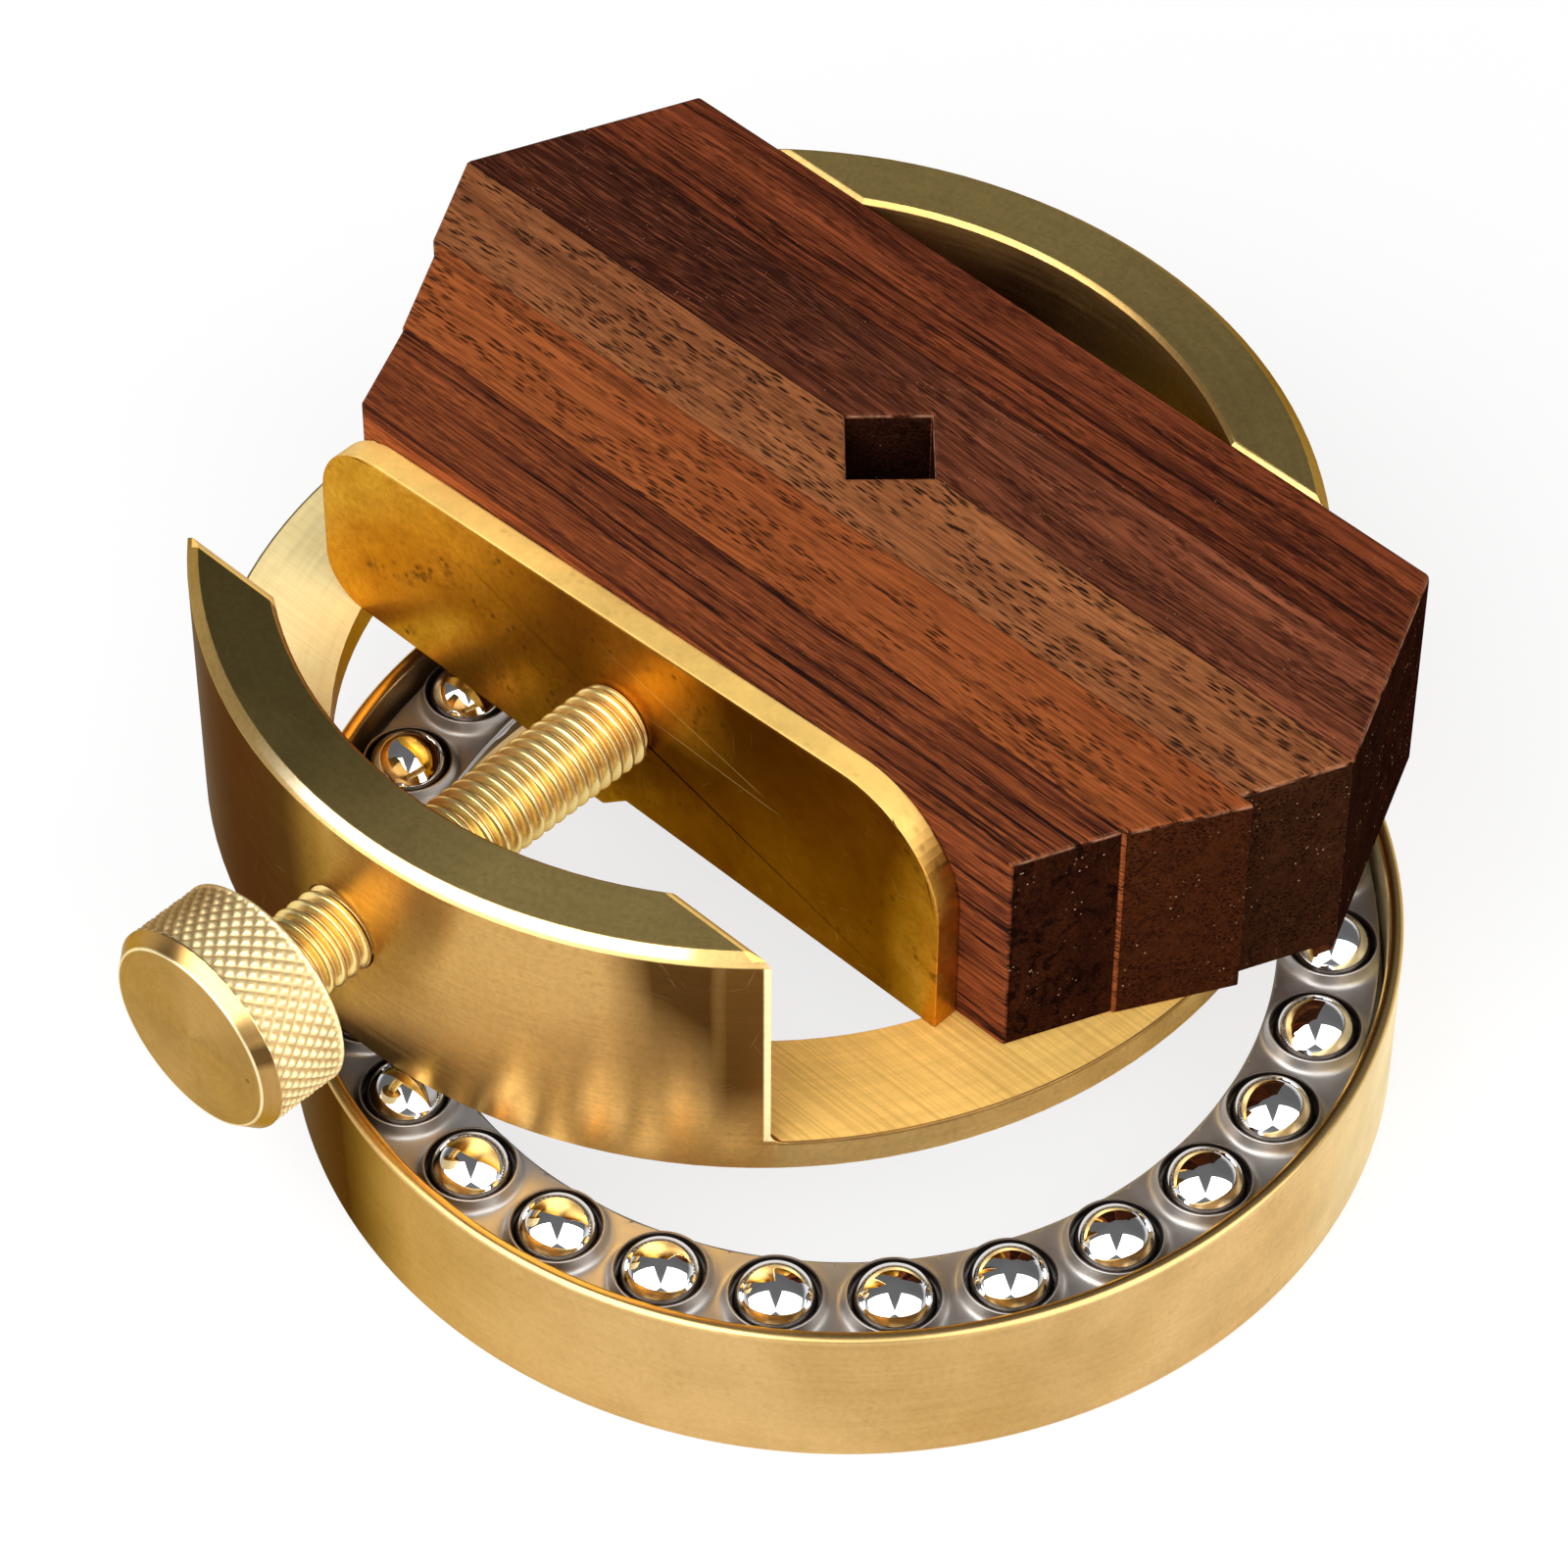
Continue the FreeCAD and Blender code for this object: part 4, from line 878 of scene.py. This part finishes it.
def turnBand(bm, near, far):
    # a ring of faces between two (radius, out) pairs
    steps = threadForm["steps"]
    loops = [[bm.verts.new(onScrew(radius, 2 * math.pi * i / steps, out)) for i in range(steps)]
             for radius, out in (near, far)]
    for i in range(steps):
        j = (i + 1) % steps
        if far[0] == 0.0:
            bm.faces.new([loops[0][i], loops[0][j], loops[1][0]])
        else:
            bm.faces.new([loops[0][i], loops[0][j], loops[1][j], loops[1][i]])


def clampScrew():
    form = threadForm
    bm = bmesh.new()
    turns = int((form["end"] - form["start"]) / form["pitch"]) + 3
    rows = []
    for turn in range(-2, turns):
        for sample in form["samples"]:
            row = []
            for step in range(form["steps"] + 1):
                share = step / form["steps"]
                out = form["start"] + (turn + sample + share) * form["pitch"]
                held = min(form["end"], max(form["start"], out))
                radius = threadRadius((held - form["start"]) / form["pitch"] - share)
                lead = min(1.0, (held - form["start"]) / form["leadIn"])
                radius = min(radius, form["radius"] - form["leadDrop"] * (1 - lead))
                row.append(bm.verts.new(onScrew(radius, share * 2 * math.pi, held)))
            rows.append(row)
    for near, far in zip(rows[:-1], rows[1:]):
        for step in range(form["steps"]):
            quad = [near[step], near[step + 1], far[step + 1], far[step]]
            if (quad[0].co - quad[3].co).length + (quad[1].co - quad[2].co).length > 1e-7:
                bm.faces.new(quad)
    nose, groove, start = form["nose"], form["groove"], form["start"]
    line = [(form["shoulder"], start), (nose, start), (nose, form["grooveFrom"]),
            (groove, form["grooveFrom"]), (groove, form["grooveTo"]), (nose, form["grooveTo"]),
            (nose, form["tipEdge"]), (form["tipRadius"], form["tip"]), (0.0, form["tip"])]
    for near, far in zip(line[:-1], line[1:]):
        turnBand(bm, near, far)
    turnBand(bm, (form["stub"], form["end"]), (0.0, form["end"]))
    return meshObject("clamp_screw_thread", bm, brass["screw"])


screw = clampScrew()
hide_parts("clamp_screw")
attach(screw, "screw")
print("thread cut")


# knurled knob; sizes in mm. An edge lists rings by how far each is past the rim and past the flat
knobForm = {"back": 67.4, "front": 77.6, "radius": 11.5, "face": 10.2, "bevel": 1.5,
            "rearBevel": 0.5, "bore": 3.8, "boreDish": 0.02, "faceRings": (5.0, 1.0),
            "backEdge": ((-6.0, 0.0), (-0.9, 0.0), (-0.6, 0.05)), "bevelEdge": 0.12,
            "faceEdge": ((0.1, -0.12), (0.06, -0.05), (0.01, -0.01), (-0.06, 0.0), (-0.6, 0.0)),
            "diamonds": 46, "diamondSteps": 8, "depth": 0.42, "slant": 0.9, "flat": 0.16,
            "fade": 0.3}


def knurlSpan():
    return knobForm["back"] + knobForm["rearBevel"], knobForm["front"] - knobForm["bevel"]


def knurlHeight(angle, out):
    # pyramids between two sets of crossed grooves, which run out at both ends
    form = knobForm
    low, high = knurlSpan()
    cell = 2 * math.pi * form["radius"] / form["diamonds"]
    across = angle / (2 * math.pi) * form["diamonds"]
    slant = (out - low) / cell * form["slant"]
    ridge = max(abs((across + slant) % 1.0 - 0.5), abs((across - slant) % 1.0 - 0.5)) * 2
    fade = min(1.0, (out - low) / form["fade"], (high - out) / form["fade"])
    return -form["depth"] * fade * min(1.0, max(0.0, (ridge - form["flat"]) / (1 - form["flat"])))


def clampKnob():
    form = knobForm
    bm = bmesh.new()
    steps = form["diamonds"] * form["diamondSteps"]
    back, front, radius = form["back"], form["front"], form["radius"]
    low, high = knurlSpan()
    count = int(round((high - low) * steps / (2 * math.pi * radius)))
    rows = [(form["bore"], back + form["boreDish"], False)]
    rows += [(radius + past, back + out, False) for past, out in form["backEdge"]]
    rows += [(radius, low + (high - low) * i / count, True) for i in range(count + 1)]
    rows += [(radius - form["bevelEdge"], high + form["bevelEdge"], False)]
    rows += [(form["face"] + past, front + out, False) for past, out in form["faceEdge"]]
    rows += [(ring, front, False) for ring in form["faceRings"]]
    loops = []
    for reach, out, knurled in rows:
        loop = []
        for step in range(steps):
            angle = 2 * math.pi * step / steps
            cut = knurlHeight(angle, out) if knurled else 0.0
            loop.append(bm.verts.new(onScrew(reach + cut, angle, out)))
        loops.append(loop)
    tip = bm.verts.new(onScrew(0, 0, front))
    for i in range(steps):
        j = (i + 1) % steps
        for near, far in zip(loops[:-1], loops[1:]):
            bm.faces.new([near[i], near[j], far[j], far[i]])
        bm.faces.new([loops[-1][i], loops[-1][j], tip])
    return meshObject("knob_knurled", bm, brass["knob"])


knob = clampKnob()
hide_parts("knob")
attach(knob, "screw")
print("knob knurled")


# widths in mm of the edges that a file or a cutter has broken, where faces meet above the angle
brokenEdges = {"pressure_plate": 0.28, "jaw_strip_a": 0.35, "jaw_strip_b": 0.3, "jaw_strip_c": 0.3,
               "jaw_strip_d": 0.35, "jaw_strip_e": 0.4, "vise_body": 0.1}
edgeForm = {"segments": 2, "angle": 25}


def breakEdges(obj, width):
    weld = obj.modifiers.new("joinedCorners", "WELD")
    weld.merge_threshold = joinReach
    bevel = obj.modifiers.new("brokenEdges", "BEVEL")
    bevel.width = width * mm
    bevel.segments = edgeForm["segments"]
    bevel.limit_method = "ANGLE"
    bevel.angle_limit = math.radians(edgeForm["angle"])
    bevel.use_clamp_overlap = False
    evenNormals(obj)


for name, width in brokenEdges.items():
    breakEdges(nodes[name], width)
print("edges broken")


# the room; each band is where one tone of the sky starts to give way and where it is gone
roomLook = {"floor": 0.94, "floorSize": 6.0, "shown": 0.75, "skyBack": 0.13, "skyTop": 0.15,
            "skyFront": 0.2, "horizon": 0.9, "backBand": (-0.4, 0.3), "topBand": (0.78, 0.95),
            "horizonBand": (0.1, 0.3)}
softboxes = {"left": {"turn": -138, "rise": 37, "away": 1.0, "size": (1.18, 1.18), "glow": 3.9},
             "right": {"turn": -42, "rise": 37, "away": 1.0, "size": (1.18, 1.18), "glow": 2.3}}
boxesMeet = {"turn": -90, "rise": 36, "lean": -45}  # a corner of each softbox points this way


def makeFloor():
    bm = bmesh.new()
    bmesh.ops.create_grid(bm, x_segments=8, y_segments=8, size=roomLook["floorSize"])
    material, w, shader = newMaterial("paperFloor", Roughness=0.9, Specular_IOR_Level=0.1)
    shader.inputs["Base Color"].default_value = rgb((roomLook["floor"],) * 3)
    path = w.add("LightPath").outputs
    glow = w.add("Emission")
    glow.inputs["Color"].default_value = rgb((1, 1, 1))
    seen = w.plus(path["Is Camera Ray"], path["Is Glossy Ray"], clamp=True)
    seen = w.plus(seen, path["Is Transmission Ray"], clamp=True)
    blend = w.add("MixShader")
    w.put(w.times(seen, roomLook["shown"]), blend.inputs[0])
    w.put(shader.outputs[0], blend.inputs[1])
    w.put(glow.outputs[0], blend.inputs[2])
    w.put(blend.outputs[0], material.node_tree.nodes["Material Output"].inputs[0])
    mesh = bpy.data.meshes.new("floorPaper")
    bm.to_mesh(mesh)
    bm.free()
    mesh.materials.append(material)
    obj = bpy.data.objects.new("floorPaper", mesh)
    bpy.context.scene.collection.objects.link(obj)


def makeWorld():
    # pale along the horizon, dim behind and above
    look = roomLook
    world = bpy.data.worlds.new("studio")
    bpy.context.scene.world = world
    world.use_nodes = True
    w = Wires(world.node_tree)
    x, y, z = w.split(w.add("TexCoord").outputs["Generated"])
    sky = w.fit(y, *look["backBand"], look["skyFront"], look["skyBack"])
    sky = w.blend(w.fit(z, *look["topBand"]), sky, look["skyTop"])
    sky = w.blend(w.fit(z, *look["horizonBand"]), look["horizon"], sky)
    back = world.node_tree.nodes["Background"]
    w.put(w.combine(sky, sky, sky), back.inputs["Color"])
    back.inputs["Strength"].default_value = 1.0


def skyward(look):
    turn, rise = math.radians(look["turn"]), math.radians(look["rise"])
    return Vector((math.cos(turn) * math.cos(rise), math.sin(turn) * math.cos(rise), math.sin(rise)))


def makeSoftbox(name):
    look = softboxes[name]
    away = skyward(look)
    lamp = bpy.data.lights.new(name + "Softbox", "AREA")
    lamp.shape = "RECTANGLE"
    lamp.size, lamp.size_y = look["size"]
    lamp.energy = look["glow"] * math.pi * lamp.size * lamp.size_y
    obj = bpy.data.objects.new(name + "Softbox", lamp)
    obj.location = away * look["away"]
    meet = skyward(boxesMeet)
    lean = Matrix.Rotation(math.radians(boxesMeet["lean"]), 3, away)
    side = lean @ (meet - away * meet.dot(away)).normalized()
    obj.rotation_euler = Matrix((side, away.cross(side), away)).transposed().to_euler()
    bpy.context.scene.collection.objects.link(obj)


makeFloor()
makeWorld()
for name in softboxes:
    makeSoftbox(name)
print("room lit")

cameraLook = {"spot": (-0.0094, -0.43071, 0.50941), "tilt": 42.37, "lens": 146.8, "sensor": 36,
              "shift": (0.02089, -0.00724), "near": 0.01}
camera = bpy.data.cameras.new("camera")
camera.lens = cameraLook["lens"]
camera.sensor_width = cameraLook["sensor"]
camera.shift_x, camera.shift_y = cameraLook["shift"]
camera.clip_start = cameraLook["near"]
cameraObject = bpy.data.objects.new("camera", camera)
cameraObject.location = cameraLook["spot"]
cameraObject.rotation_euler = (math.radians(cameraLook["tilt"]), 0, 0)
bpy.context.scene.collection.objects.link(cameraObject)
bpy.context.scene.camera = cameraObject
bpy.context.scene.view_settings.view_transform = "Standard"
print("camera set")
